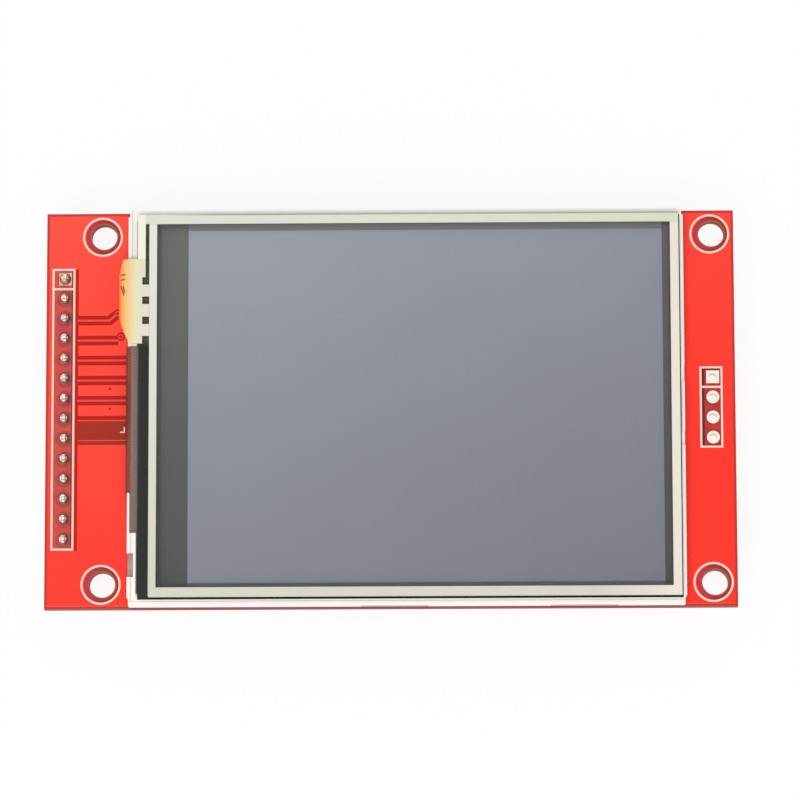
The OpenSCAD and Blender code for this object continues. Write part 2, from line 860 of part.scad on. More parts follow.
// Flex of the display: bonded to the glass ledge, folded out through the gap in the
// frame, and soldered to the board under the tray. An ear takes the touch flex.
module display_flex() {
    fold_out = frame_left - display_flex_reach;
    low = flex_fold_low + flex_gap;
    high = flex_fold_high - flex_gap;
    join = 0.1;
    color([0.6, 0.33, 0.16]) {
        folded_strip(fold_out, low, high, z_flex_low, z_filter, tail_start + join, bond_end);
        block([frame_left + 0.35, flex_wide_low + flex_gap, z_filter],
              [bond_end, low + join, z_filter + flex_thickness]);
        block([tail_start, tail_low, z_flex_low], [tail_end, tail_high, z_flex_low + flex_thickness]);
        block([frame_left + 1.5, high - join, z_flex_low],
              [ear_right, touch_flex_high - 1, z_flex_low + flex_thickness]);
        block([tail_start, tail_high - join, z_flex_low],
              [ear_right, high, z_flex_low + flex_thickness]);
    }
}

module flex_joints() {
    first = (tail_low + tail_high - (flex_joint_count - 1) * flex_joint_pitch) / 2;
    size = [2.2, 0.4, pad_thickness];
    color([0.8, 0.8, 0.78])
    for (i = [0 : flex_joint_count - 1])
        translate([tail_end - 2, first + i * flex_joint_pitch - size[1] / 2, z_front]) cube(size);
}

// Dark openings in the pale margin of the touch panel: one long slot and four marks.
module margin_openings() {
    block([touch_slot_left, touch_slot_ys[0], z_spacer - OVER],
          [touch_slot_right, touch_slot_ys[1], z_film + OVER]);
    for (y = touch_mark_ys)
        block([touch_mark_left, y, z_spacer - OVER],
              [touch_mark_left + touch_mark_width, y + touch_mark_length, z_film + OVER]);
}

// Flex of the touch panel: bonded under the film, narrowed to a round waist where it
// folds over the frame's side, and joined to the display flex under the tray.
module touch_flex() {
    fold_out = frame_left - touch_flex_reach;
    color([0.95, 0.7, 0.36])
    difference() {
        intersection() {
            folded_strip(fold_out, touch_flex_low, touch_flex_high,
                         z_flex_low + flex_thickness, z_spacer, ear_right - 0.5, border_left - 0.02);
            translate([fold_out - 0.25 + touch_flex_round, touch_flex_peak, 0])
                cylinder(r = touch_flex_round, h = 3 * z_film);
        }
        margin_openings();
    }
}

// ---------------------------------------------------------------- touch panel

// Black tape that carries the touch panel. It shows past two sides of the glass.
module ring_tape() {
    edge = 0.15;
    color([0.06, 0.06, 0.06])
    difference() {
        block([touch_left + edge, -touch_half - tape_show, z_frame_top],
              [touch_right + tape_show, touch_half - edge, z_frame_top + ring_tape_thickness]);
        block([window_left - edge, -window_half - edge, z_frame_top - OVER],
              [window_right + edge, window_half + edge, z_touch + OVER]);
    }
}

module touch_glass() {
    color([0.75, 0.8, 0.8], 0.4)
    sheet(touch_left, touch_right, touch_half, z_touch, touch_glass_thickness);
}

// Clear adhesive between the glass and the film, open at the window and at the flex.
module touch_spacer() {
    color([0.8, 0.82, 0.8], 0.5)
    difference() {
        flat_ring(touch_left + 0.05, touch_right - 0.05, touch_half - 0.05,
                  window_left, window_right, window_half, z_spacer, z_border);
        block([touch_left - OVER, touch_flex_low, z_spacer - OVER],
              [border_left, touch_flex_high, z_border + OVER]);
        margin_openings();
    }
}

// Pale ink under the film: the border of the window and the margin above the flex.
module touch_border() {
    color([0.86, 0.85, 0.81])
    difference() {
        union() {
            flat_ring(border_left, border_right, border_half,
                      window_left, window_right, window_half, z_border, z_border_top);
            block([touch_left + 0.05, touch_flex_high, z_border], [border_left, border_half, z_border_top]);
        }
        margin_openings();
    }
}

module touch_film() {
    color([0.7, 0.72, 0.74], 0.3)
    sheet(touch_left, touch_right, touch_half, z_film, touch_film_thickness);
}

// ---------------------------------------------------------------- card socket

// Locating pegs of the socket base. The holes for them are a little larger and deeper.
module pegs(extra, low, high) {
    for (i = [0, 1])
        translate([(2 * i - 1) * (rail_outer - peg_inset), peg_y, low])
            cylinder(r = peg_radii[i] + extra, h = high - low, $fn = SMALL_FN);
}

// Place of each card contact across the socket.
function contact_x(i) = (i - (contact_count - 1) / 2) * contact_pitch;

// Outline across the socket: upright sides that round over into a flat top.
module socket_outline(half, low, high, round) {
    translate([-half, low]) square([2 * half, high - round - low]);
    translate([round - half, low]) square([2 * (half - round), high - low]);
    for (side = [-1, 1])
        translate([side * (half - round), high - round]) circle(r = round, $fn = SMALL_FN);
}

// Raises an outline drawn across the socket from one depth to another.
module socket_run(from, to) {
    translate([0, (from + to) / 2, 0]) across_y(to - from) children();
}

// Plastic base: rear wall, two side rails and a slotted floor.
module socket_base() {
    slot_half = contact_width / 2 + 0.2;
    rail_end = socket_depth - 0.4;
    lip = 2;
    floor_end = socket_depth - lip;
    join = 0.1;
    key_side = key_slope + 2 * join;
    color([0.07, 0.07, 0.075])
    at_socket()
        difference() {
            union() {
                difference() {
                    socket_run(0, rail_end) socket_outline(rail_outer, -rear_gap, ceiling, shell_round);
                    block([-rail_inner, rear_wall, floor_height],
                          [rail_inner, rail_end + OVER, socket_height]);
                    block([-rail_inner, floor_end, -OVER],
                          [rail_inner, rail_end + OVER, socket_height]);
                }
                // Sloped corner that only lets the card in one way round.
                translate([-rail_inner - join, rear_wall - join, 0])
                    linear_extrude(height = ceiling) polygon([[0, 0], [key_side, 0], [0, key_side]]);
                pegs(0, -peg_height, rear_gap);
            }
            // Slots for the contacts: through the rear wall, and under the sprung arms.
            for (i = [0 : contact_count - 1])
                translate([contact_x(i), 0, 0]) {
                    block([-contact_width / 2, -OVER, floor_height],
                          [contact_width / 2, rear_wall + OVER, floor_height + contact_strip]);
                    block([-slot_half, contact_slot_start, -OVER],
                          [slot_half, contact_slot_end, floor_height + OVER]);
                }
            // Lead-in slope at the mouth.
            translate([-rail_inner, floor_end, floor_height])
                rotate([-20, 0, 0])
                    translate([0, -lip, 0]) cube([2 * rail_inner, 2 * lip, 1]);
            // Hollow behind the key corner that keeps the wall even.
            block([-rail_outer + 1, rear_wall * 0.35, -OVER],
                  [-rail_inner + 0.4, rear_wall * 0.7, ceiling - 0.6]);
        }
}

// One solder foot of the shell, bent outwards at the foot of its right wall.
module shell_foot(y) {
    outer = foot_bend + shell_thickness;
    foot = foot_reach - foot_bend;
    socket_run(y, y + foot_length) {
        translate([rail_outer, outer]) square([shell_thickness, shell_wall_low + 0.1 - outer]);
        translate([rail_outer + outer, outer]) bend(foot_bend, shell_thickness, 180, 270);
        translate([rail_outer + outer, 0]) square([foot, shell_thickness]);
    }
}

// Spring tongue of the shell: it slopes down from its root and turns up at its tip.
module shell_tongue(x) {
    length = tongue_size[1];
    tip = 0.6;
    lap = 0.3;
    translate([x, tongue_root, ceiling])
        rotate([tongue_slope, 0, 0])
            across_x(tongue_size[0]) {
                translate([-length, 0]) square([length + lap, shell_thickness]);
                translate([-length, tip + shell_thickness]) bend(tip, shell_thickness, 220, 270);
            }
}

// Stamped shell: a cover with windows and two spring tongues, walls and solder feet.
module socket_shell() {
    half = socket_width / 2;
    cut = [[-9, 0.1], [9, 0.1], [6.5, -3], [-6.5, -3]];
    window = [4, 2.8];
    window_y = shell_start + 2.6;
    side_window = [[8, 0.9], [14, 1.7]];
    opening = [tongue_size[0] + 2 * tongue_gap, tongue_size[1] + tongue_gap];
    color([0.78, 0.79, 0.8])
    at_socket() {
        difference() {
            socket_run(shell_start, socket_depth)
                difference() {
                    socket_outline(half, shell_wall_low, socket_height, shell_round + shell_thickness);
                    socket_outline(rail_outer, 0, ceiling, shell_round);
                }
            // Finger cut at the mouth.
            translate([0, socket_depth, ceiling - OVER]) linear_extrude(height = 3 * OVER) polygon(cut);
            // Inspection windows over the contacts.
            for (i = [-1 : 1])
                translate([i * 3 * contact_pitch - window[0] / 2, window_y, ceiling - OVER])
                    cube([window[0], window[1], 3 * OVER]);
            // Openings round the spring tongues.
            for (x = tongue_xs)
                translate([x - opening[0] / 2, tongue_root - opening[1], ceiling - OVER])
                    cube([opening[0], opening[1], 3 * OVER]);
            // Long window in both side walls.
            block([-half - OVER, side_window[0][0], side_window[0][1]],
                  [half + OVER, side_window[1][0], side_window[1][1]]);
        }
        for (x = tongue_xs) shell_tongue(x);
        for (y = foot_ys) {
            shell_foot(y);
            mirror([1, 0, 0]) shell_foot(y);
        }
    }
}

// Outline of a card contact: solder tail, upright, run through the rear wall, and a
// sprung arm whose tip rolls over.
module contact_outline() {
    outer = contact_bend + contact_strip;
    upright = -contact_bend - contact_strip;
    translate([-contact_tail, 0]) square([contact_tail + upright - contact_bend, contact_strip]);
    translate([upright - contact_bend, outer]) bend(contact_bend, contact_strip, 270, 360);
    translate([upright, outer]) square([contact_strip, floor_height - contact_bend - outer]);
    translate([0, floor_height - contact_bend]) bend(contact_bend, contact_strip, 90, 180);
    translate([0, floor_height]) square([contact_slot_start + 0.05, contact_strip]);
    translate([contact_slot_start, floor_height])
        rotate(contact_rise) {
            square([contact_arm, contact_strip]);
            translate([contact_arm, -contact_tip_radius])
                bend(contact_tip_radius, contact_strip, 90 - contact_tip_turn, 90);
        }
}

module socket_contacts() {
    color([0.9, 0.76, 0.42])
    at_socket()
        for (i = [0 : contact_count - 1])
            translate([contact_x(i), 0, 0]) across_x(contact_width) contact_outline();
}

// ---------------------------------------------------------------- small parts

// Gull-wing lead that leaves the body at x = 0 and reaches outwards along X, with a
// round bend at the shoulder and at the foot.
module gull_lead(width, reach) {
    outer = lead_bend + lead_metal;
    leg = reach * 0.45 - lead_metal;
    across_y(width) {
        translate([0, lead_level]) square([leg - lead_bend, lead_metal]);
        translate([leg - lead_bend, lead_level - lead_bend]) bend(lead_bend, lead_metal, 0, 90);
        translate([leg, outer]) square([lead_metal, lead_level - lead_bend - outer]);
        translate([leg + outer, outer]) bend(lead_bend, lead_metal, 180, 270);
        translate([leg + outer, 0]) square([reach - leg - outer, lead_metal]);
    }
}

// Side view of a moulded case: its walls lean in above and below the band where the
// leads come out.
module case_outline(width, height) {
    half = width / 2;
    band = [lead_level - case_band, lead_level + lead_metal + case_band];
    top = case_lift + height;
    lean_low = (band[0] - case_lift) * tan(case_draft);
    lean_high = (top - band[1]) * tan(case_draft);
    polygon([
        [lean_low - half, case_lift], [half - lean_low, case_lift], [half, band[0]], [half, band[1]],
        [half - lean_high, top], [lean_high - half, top], [-half, band[1]], [-half, band[0]]
    ]);
}

// Moulded case with draft on all four sides.
module moulded_case(size) {
    intersection() {
        across_y(size[1]) case_outline(size[0], size[2]);
        across_x(size[0]) case_outline(size[1], size[2]);
    }
}

module controller_body() {
    dot_inset = 0.85;
    dot_depth = 0.1;
    color([0.09, 0.09, 0.095])
    on_rear(controller_place)
        difference() {
            moulded_case(controller_body);
            translate([dot_inset - controller_body[0] / 2, controller_body[1] / 2 - dot_inset,
                       case_lift + controller_body[2] - dot_depth])
                cylinder(r = 0.35, h = OVER, $fn = SMALL_FN);
        }
}

// Place of each controller lead along its side.
function controller_y(i) = (i - (controller_rows - 1) / 2) * controller_pitch;

module controller_leads() {
    color([0.8, 0.8, 0.78])
    on_rear(controller_place)
        for (side = [0, 180], i = [0 : controller_rows - 1])
            rotate([0, 0, side])
                translate([controller_body[0] / 2, controller_y(i), 0]) gull_lead(0.24, controller_reach);
}

// Two leads on one side and one on the other.
module three_leads() {
    width = 0.42;
    half = three_lead_body[1] / 2;
    for (x = [-three_lead_pitch, three_lead_pitch])
        translate([x, -half, 0]) rotate([0, 0, -90]) gull_lead(width, three_lead_reach);
    translate([0, half, 0]) rotate([0, 0, 90]) gull_lead(width, three_lead_reach);
}

module regulator_body() {
    color([0.09, 0.09, 0.095]) on_rear(regulator_place) moulded_case(three_lead_body);
}

module regulator_leads() {
    color([0.8, 0.8, 0.78]) on_rear(regulator_place) three_leads();
}

module transistor_body() {
    color([0.09, 0.09, 0.095]) on_rear(transistor_place) moulded_case(three_lead_body);
}

module transistor_leads() {
    color([0.8, 0.8, 0.78]) on_rear(transistor_place) three_leads();
}

// Middle of a two-ended part, a little thinner than the metal that wraps its ends.
module chip_middle(height) {
    half = chip_size[0] / 2 - chip_end;
    side = chip_size[1] / 2 - chip_wrap;
    block([-half, -side, chip_wrap], [half, side, height - chip_wrap]);
}

// Metal ends of a two-ended part, rounded along their upper outer edges.
module chip_ends(height) {
    inner = chip_size[0] / 2 - chip_end;
    flat = chip_end - chip_round;
    for (side = [0, 180])
        rotate([0, 0, side])
            translate([inner, 0, 0])
                across_y(chip_size[1]) {
                    square([chip_end, height - chip_round]);
                    square([flat, height]);
                    translate([flat, height - chip_round]) circle(r = chip_round, $fn = SMALL_FN);
                }
}

module resistor_bodies() {
    color([0.08, 0.08, 0.09])
    for (place = resistor_places) on_rear(place) chip_middle(resistor_height);
}

module resistor_ends() {
    color([0.8, 0.8, 0.79])
    for (place = resistor_places) on_rear(place) chip_ends(resistor_height);
}

module capacitor_bodies() {
    color([0.62, 0.5, 0.36])
    for (place = capacitor_places) on_rear(place) chip_middle(capacitor_height);
}

module capacitor_ends() {
    color([0.8, 0.8, 0.79])
    for (place = capacitor_places) on_rear(place) chip_ends(capacitor_height);
}

// Flat solder pad centred on the local origin, between the board and the part.
module pad(x, y, length, width) {
    translate([x - length / 2, y - width / 2, -pad_thickness]) cube([length, width, pad_thickness]);
}

module rear_pads() {
    lead_span = controller_body[0] / 2 + controller_reach * 0.8;
    three_span = three_lead_body[1] / 2 + three_lead_reach * 0.75;
    foot_middle = socket_width / 2 + foot_reach / 2 + 0.1;
    color([0.83, 0.82, 0.78]) {
        for (place = concat(resistor_places, capacitor_places))
            on_rear(place)
                for (side = [-1, 1]) pad(side * (chip_size[0] / 2 - 0.05), 0, 0.8, chip_size[1] + 0.15);
        on_rear(controller_place)
            for (side = [-1, 1], i = [0 : controller_rows - 1])
                pad(side * lead_span, controller_y(i), 1, 0.35);
        for (place = [regulator_place, transistor_place])
            on_rear(place) {
                for (x = [-three_lead_pitch, three_lead_pitch]) pad(x, -three_span, 0.6, 0.8);
                pad(0, three_span, 0.6, 0.8);
            }
        at_socket() {
            for (i = [0 : contact_count - 1]) pad(contact_x(i), -0.95, 0.9, 1.5);
            for (side = [-1, 1], y = foot_ys)
                pad(side * foot_middle, y + foot_length / 2, foot_reach + 0.5, foot_length + 0.4);
        }
    }
}

// ---------------------------------------------------------------- nodes

board();
print_front();
print_rear();
header_body();
header_pins();
header_pads();
header_solder();
card_row_pads();
rear_pads();
flex_joints();
adhesive_pad();
back_tray();
display_frame();
reflector();
light_guide();
led_strip();
leds();
diffuser();
prism_film_lower();
prism_film_upper();
shield_tape();
rear_polarizer();
transistor_glass();
filter_glass();
front_polarizer();
driver_chip();
ledge_tape();
display_flex();
ring_tape();
touch_glass();
touch_spacer();
touch_border();
touch_film();
touch_flex();
socket_base();
socket_shell();
socket_contacts();
controller_body();
controller_leads();
regulator_body();
regulator_leads();
transistor_body();
transistor_leads();
resistor_bodies();
resistor_ends();
capacitor_bodies();
capacitor_ends();
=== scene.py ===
"""Looks of a colour touch display module.

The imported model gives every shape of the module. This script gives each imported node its
finish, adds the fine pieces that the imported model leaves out, such as the tracks under the
solder mask and the solder at the feet of the small parts, and sets up a plain pale studio.

Lengths are millimetres in the part's own frame, unless a name ends in _m. The origin is the
centre of the four mounting holes on the rear face of the board, X leads away from the pin
header, Y leads across the board and Z leads out of the display.
"""

import json
import logging
import math
from dataclasses import dataclass
from enum import Enum
from typing import Any, Iterable, Optional, Sequence, Union

import bmesh
import bpy
from mathutils import Euler, Matrix, Vector


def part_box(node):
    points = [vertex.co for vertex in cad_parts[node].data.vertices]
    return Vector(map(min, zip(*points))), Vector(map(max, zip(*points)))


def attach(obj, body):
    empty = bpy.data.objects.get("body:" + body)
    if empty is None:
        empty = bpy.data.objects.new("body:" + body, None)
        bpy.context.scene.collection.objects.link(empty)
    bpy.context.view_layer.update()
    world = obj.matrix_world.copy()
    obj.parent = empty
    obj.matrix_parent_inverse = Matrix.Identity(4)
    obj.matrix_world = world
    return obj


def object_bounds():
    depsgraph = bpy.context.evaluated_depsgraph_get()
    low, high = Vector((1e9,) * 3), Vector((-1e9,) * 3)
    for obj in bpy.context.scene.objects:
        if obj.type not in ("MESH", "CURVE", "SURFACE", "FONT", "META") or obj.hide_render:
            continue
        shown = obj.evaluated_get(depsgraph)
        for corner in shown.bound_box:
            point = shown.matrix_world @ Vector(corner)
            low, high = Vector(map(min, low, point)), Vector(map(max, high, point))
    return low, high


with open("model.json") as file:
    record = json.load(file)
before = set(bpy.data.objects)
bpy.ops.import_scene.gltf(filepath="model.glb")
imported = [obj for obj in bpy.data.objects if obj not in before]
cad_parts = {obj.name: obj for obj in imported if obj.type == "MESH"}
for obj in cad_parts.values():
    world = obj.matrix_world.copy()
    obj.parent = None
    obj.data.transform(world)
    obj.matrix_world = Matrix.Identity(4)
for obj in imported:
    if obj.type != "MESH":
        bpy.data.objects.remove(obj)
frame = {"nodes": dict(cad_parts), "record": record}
CAD_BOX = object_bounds()

LOG = logging.getLogger("display_module")
MM = 0.001
BODY = "root"
PIN_PITCH = 2.54
SHARP_ANGLE = math.radians(40)
SAME_PLACE_M = 1e-6

Triple = tuple[float, float, float]
Colour = Triple
Point = tuple[float, float]
Box = tuple[Vector, Vector]
Number = Union[float, "Signal"]
Socket = bpy.types.NodeSocket
Paint = Union[Colour, Socket]
Inputs = dict[Union[str, int], Any]


def srgb(red: int, green: int, blue: int) -> Colour:
    """Linear colour of a display colour given as three numbers from 0 to 255."""
    shares = [channel / 255 for channel in (red, green, blue)]
    return tuple(s / 12.92 if s <= 0.04045 else ((s + 0.055) / 1.055) ** 2.4 for s in shares)


def dimmed(colour: Colour, share: float) -> Colour:
    """A colour brought down to a share of its light."""
    return tuple(channel * share for channel in colour)


def corners(node: str) -> Box:
    """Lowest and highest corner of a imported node, in millimetres."""
    low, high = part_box(node)
    return low / MM, high / MM


# ------------------------------------------------------------------ material toolkit


class Signal:
    """A number inside a material, on which Python's operators add Math nodes."""

    def __init__(self, graph: "Graph", socket: Socket) -> None:
        """Wraps a number socket of the graph's node tree."""
        self.graph = graph
        self.socket = socket

    def __add__(self, other: Number) -> "Signal":
        """Sum."""
        return self.graph.maths("ADD", self, other)

    def __sub__(self, other: Number) -> "Signal":
        """Difference."""
        return self.graph.maths("SUBTRACT", self, other)

    def __rsub__(self, other: Number) -> "Signal":
        """Difference with the signal on the right."""
        return self.graph.maths("SUBTRACT", other, self)

    def __mul__(self, other: Number) -> "Signal":
        """Product."""
        return self.graph.maths("MULTIPLY", self, other)

    def __truediv__(self, other: Number) -> "Signal":
        """Quotient."""
        return self.graph.maths("DIVIDE", self, other)

    def __rtruediv__(self, other: Number) -> "Signal":
        """Quotient with the signal on the right."""
        return self.graph.maths("DIVIDE", other, self)

    def __abs__(self) -> "Signal":
        """Size without its sign."""
        return self.graph.maths("ABSOLUTE", self)

    __radd__ = __add__
    __rmul__ = __mul__

    def least(self, other: Number) -> "Signal":
        """Smaller of the two, which joins two masks where both hold."""
        return self.graph.maths("MINIMUM", self, other)

    def most(self, other: Number) -> "Signal":
        """Larger of the two, which joins two masks where either holds."""
        return self.graph.maths("MAXIMUM", self, other)

    def over(self, edge: float, soft: float = 0.02) -> "Signal":
        """Mask that is 1 where the signal is above an edge, with a soft step."""
        return self.graph.maths("MULTIPLY_ADD", self, 1 / soft, 0.5 - edge / soft, clamp=True)

    def under(self, edge: float, soft: float = 0.02) -> "Signal":
        """Mask that is 1 where the signal is below an edge, with a soft step."""
        return self.graph.maths("MULTIPLY_ADD", self, -1 / soft, 0.5 + edge / soft, clamp=True)

    def between(self, low: float, high: float, soft: float = 0.02) -> "Signal":
        """Mask that is 1 from low to high, with soft steps."""
        return abs(self - (low + high) / 2).under((high - low) / 2, soft)

    def cyclic(self, period: float, centre: float) -> "Signal":
        """Distance from the nearest member of a row of centres a period apart."""
        shifted = (self - centre) / period
        return abs(shifted - self.graph.maths("ROUND", shifted)) * period


@dataclass
class Place:
    """The three coordinates of a surface point in millimetres, and their vector."""

    x: Signal
    y: Signal
    z: Signal
    vector: Socket


class Graph:
    """Node tree of one material, with a short call for each node that it needs."""

    def __init__(self, name: str, owner: Optional[bpy.types.World] = None) -> None:
        """Starts an empty node material, or the empty nodes of a world.

        Args:
            name: Name of the new material.
            owner: World that has the nodes instead, if it is a world.
        """
        self.material = owner or bpy.data.materials.new(name)
        self.material.use_nodes = True
        self.tree = self.material.node_tree
        self.tree.nodes.clear()
        self._place: Optional[Place] = None

    def node(self, kind: str, settings: Optional[dict[str, Any]] = None,
             inputs: Optional[Inputs] = None) -> bpy.types.Node:
        """Adds a node, sets its settings and then fills or links its sockets.

        Args:
            kind: Blender's type name of the node.
            settings: Properties of the node; "stops" holds a ramp's places and colours.
            inputs: Values, signals or sockets, by socket name or number.

        Returns:
            The new node.
        """
        made = self.tree.nodes.new(kind)
        for key, value in (settings or {}).items():
            if key == "stops":
                self._set_stops(made.color_ramp.elements, value)
            else:
                setattr(made, key, value)
        for key, value in (inputs or {}).items():
            self._plug(made.inputs[key], value)
        return made

    @staticmethod
    def _set_stops(elements: bpy.types.ColorRampElements,
                   stops: Sequence[tuple[float, Colour]]) -> None:
        """Gives a colour ramp its places and colours.

        Args:
            elements: The ramp's elements, of which there are two at first.
            stops: Place from 0 to 1 and colour of each stop.
        """
        while len(elements) < len(stops):
            elements.new(1.0)
        for element, (position, colour) in zip(elements, stops):
            element.position = position
            element.color = (*colour, 1.0)

    def _plug(self, socket: Socket, value: Any) -> None:
        """Links a signal or a socket, or sets a plain value.

        Args:
            socket: Input socket of a node.
            value: Signal or output socket to link, or a number, vector or colour.
        """
        source = value.socket if isinstance(value, Signal) else value
        if isinstance(source, Socket):
            self.tree.links.new(source, socket)
        elif socket.type == "RGBA":
            socket.default_value = (*value, 1.0)
        else:
            socket.default_value = value

    def maths(self, operation: str, *values: Number, clamp: bool = False) -> Signal:
        """Adds a Math node of the operation and returns its result."""
        made = self.node("ShaderNodeMath", {"operation": operation, "use_clamp": clamp},
                         dict(enumerate(values)))
        return Signal(self, made.outputs[0])

    def vectors(self, operation: str, inputs: Inputs) -> Socket:
        """Adds a Vector Math node of the operation and returns its vector."""
        return self.node("ShaderNodeVectorMath", {"operation": operation}, inputs).outputs[0]

    def place(self) -> Place:
        """Object coordinates in millimetres, made once for each material.

        Returns:
            The coordinates and their vector.
        """
        if self._place is None:
            source = self.node("ShaderNodeTexCoord").outputs["Object"]
            scaled = self.vectors("SCALE", {"Vector": source, "Scale": 1 / MM})
            parts = self.node("ShaderNodeSeparateXYZ", None, {0: scaled})
            self._place = Place(*(Signal(self, output) for output in parts.outputs), scaled)
        return self._place

    def noise(self, size: float, detail: float = 2.0,
              factors: Optional[Triple] = None) -> Signal:
        """Soft noise from 0 to 1.

        Args:
            size: Size of one patch, in millimetres.
            detail: Number of finer layers.
            factors: How much each axis is squeezed, for streaks.

        Returns:
            The noise as a signal.
        """
        vector = self.place().vector
        if factors is not None:
            vector = self.vectors("MULTIPLY", {0: vector, 1: factors})
        made = self.node("ShaderNodeTexNoise", {"normalize": True},
                         {"Vector": vector, "Scale": 1 / size, "Detail": detail})
        return Signal(self, made.outputs[0])

    def cells(self, size: float) -> Signal:
        """Distance pattern of scattered cells, each about the given size."""
        made = self.node("ShaderNodeTexVoronoi", {"feature": "F1"},
                         {"Vector": self.place().vector, "Scale": 1 / size})
        return Signal(self, made.outputs["Distance"])

    def disc(self, centre: Point, pitch: Optional[float] = None) -> Signal:
        """Distance from an upright line, or from the nearest line of an endless row.

        Args:
            centre: Where the line stands.
            pitch: Distance from line to line of a row along Y, if there is a row.

        Returns:
            The distance in millimetres.
        """
        here = self.place()
        aside = here.y.cyclic(pitch, centre[1]) if pitch else here.y - centre[1]
        flat = self.node("ShaderNodeCombineXYZ", None, {0: here.x - centre[0], 1: aside})
        made = self.node("ShaderNodeVectorMath", {"operation": "LENGTH"}, {0: flat.outputs[0]})
        return Signal(self, made.outputs["Value"])

    def blend(self, factor: Number, below: Paint, above: Paint) -> Socket:
        """Mixes two colours: factor 0 gives the first and 1 the second."""
        made = self.node("ShaderNodeMix", {"data_type": "RGBA", "clamp_factor": True},
                         {0: factor, 6: below, 7: above})
        return made.outputs[2]

    def coats(self, base: Paint, *layers: tuple[Number, Paint]) -> Paint:
        """Lays colours over a base in turn, each through its own mask."""
        for mask, colour in layers:
            base = self.blend(mask, base, colour)
        return base

    def relief(self, height: Number, depth: float) -> Socket:
        """Bumps the surface by a height from 0 to 1 that is depth millimetres tall."""
        return self.node("ShaderNodeBump", None,
                         {"Height": height, "Distance": depth * MM}).outputs[0]

    def surface(self, inputs: Inputs) -> bpy.types.Material:
        """Ends the material with one Principled shader.

        Args:
            inputs: Values, signals or sockets, by the shader's socket names.

        Returns:
            The finished material.
        """
        shader = self.node("ShaderNodeBsdfPrincipled", None, inputs)
        self.node("ShaderNodeOutputMaterial", None, {0: shader.outputs[0]})
        return self.material


@dataclass(frozen=True)
class Plan:
    """Upright box given by the lowest and the highest corner of its plan."""

    low: Point
    high: Point

    @classmethod
    def of(cls, node: str) -> "Plan":
        """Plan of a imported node."""
        low, high = corners(node)
        return cls(low[:2], high[:2])

    def grown(self, left: float, near: float, right: float, far: float) -> "Plan":
        """The plan with each of its sides moved outwards."""
        return Plan((self.low[0] - left, self.low[1] - near),
                    (self.high[0] + right, self.high[1] + far))

    def across(self, graph: Graph) -> Signal:
        """Share of the way from the left side to the right side."""
        return (graph.place().x - self.low[0]) / (self.high[0] - self.low[0])

    def down(self, graph: Graph) -> Signal:
        """Share of the way from the far side to the near side."""
        return (self.high[1] - graph.place().y) / (self.high[1] - self.low[1])

    def mask(self, graph: Graph, soft: float) -> Signal:
        """Mask that is 1 inside the box, with a soft step at its sides.

        Args:
            graph: Node tree of the material.
            soft: Width of the step.

        Returns:
            The mask as a signal.
        """
        here = graph.place()
        across = here.x.between(self.low[0], self.high[0], soft)
        return across.least(here.y.between(self.low[1], self.high[1], soft))


# ------------------------------------------------------------------ finishes


class Finish:
    """What a surface looks like, as the inputs of one Principled shader."""

    def inputs(self, graph: Graph) -> Inputs:
        """Values and nodes for the shader's sockets, by the sockets' names."""
        raise NotImplementedError

    def make(self, name: str) -> bpy.types.Material:
        """Builds the material."""
        graph = Graph(name)
        return graph.surface(self.inputs(graph))


class Brush(Enum):
    """Direction in which a metal surface was rolled or rubbed."""

    NONE = (1.0, 1.0, 1.0)
    ALONG_X = (0.05, 1.0, 1.0)
    ALONG_Y = (1.0, 0.05, 1.0)


@dataclass(frozen=True)
class MouldedPlastic(Finish):
    """Injection moulded plastic with a fine eroded grain and faint flow shading."""

    colour: Colour
    shade: Colour
    roughness: float = 0.5
    grain: float = 0.12
    depth: float = 0.004

    def inputs(self, graph: Graph) -> Inputs:
        """The tone follows slow flow and grain; the grain is also the bump.

        Args:
            graph: Node tree of the material.

        Returns:
            The shader's inputs.
        """
        flow = graph.noise(6.0)
        grain = graph.noise(self.grain, 3.0)
        return {
            "Base Color": graph.blend(flow * 0.6 + grain * 0.4, self.colour, self.shade),
            "Roughness": grain * 0.16 + (self.roughness - 0.08),
            "Normal": graph.relief(grain, self.depth),
        }


@dataclass(frozen=True)
class FramePlastic(Finish):
    """White moulded plastic with a fine step along its left and near sides, darkened there as
    painted shade.
    """

    colour: Colour
    shade: Colour
    # colour of the painted shade along the step
    line: Colour
    plan: Plan
    inset: float = 0.5
    width: float = 0.1

    def inputs(self, graph: Graph) -> Inputs:
        """Moulded plastic, sunk where the step runs and darker there as painted shade.

        Args:
            graph: Node tree of the material.

        Returns:
            The shader's inputs.
        """
        here = graph.place()
        flow = graph.noise(6.0)
        grain = graph.noise(0.12, 3.0)
        inward = (here.x - self.plan.low[0]).least(here.y - self.plan.low[1])
        half = self.width / 2
        step = inward.between(self.inset - half, self.inset + half, 0.08)
        plain = graph.blend(flow * 0.6 + grain * 0.4, self.colour, self.shade)
        return {
            # painted shade: the line colour darkens the plastic along the step
            "Base Color": graph.blend(step * 0.8, plain, self.line),
            "Roughness": grain * 0.16 + 0.34,
            "Normal": graph.relief(grain * 0.1 - step, 0.02),
        }


@dataclass(frozen=True)
class PlatedMetal(Finish):
    """Plated or rolled metal with cloudy tarnish and, if it is brushed, fine streaks."""

    colour: Colour
    stain: Colour
    roughness: float = 0.3
    brush: Brush = Brush.NONE
    streak: float = 0.08
    metallic: float = 1.0

    def inputs(self, graph: Graph) -> Inputs:
        """Tarnish dulls the colour and the shine; streaks roughen it.

        Args:
            graph: Node tree of the material.

        Returns:
            The shader's inputs.
        """
        cloud = graph.noise(1.6, 3.0)
        streaks = graph.noise(self.streak, factors=self.brush.value)
        return {
            "Base Color": graph.blend(cloud.over(0.62, 0.5), self.colour, self.stain),
            "Metallic": cloud * -0.12 + self.metallic,
            "Roughness": streaks * 0.14 + cloud * 0.1 + (self.roughness - 0.12),
            "Normal": graph.relief(streaks, 0.002),
        }


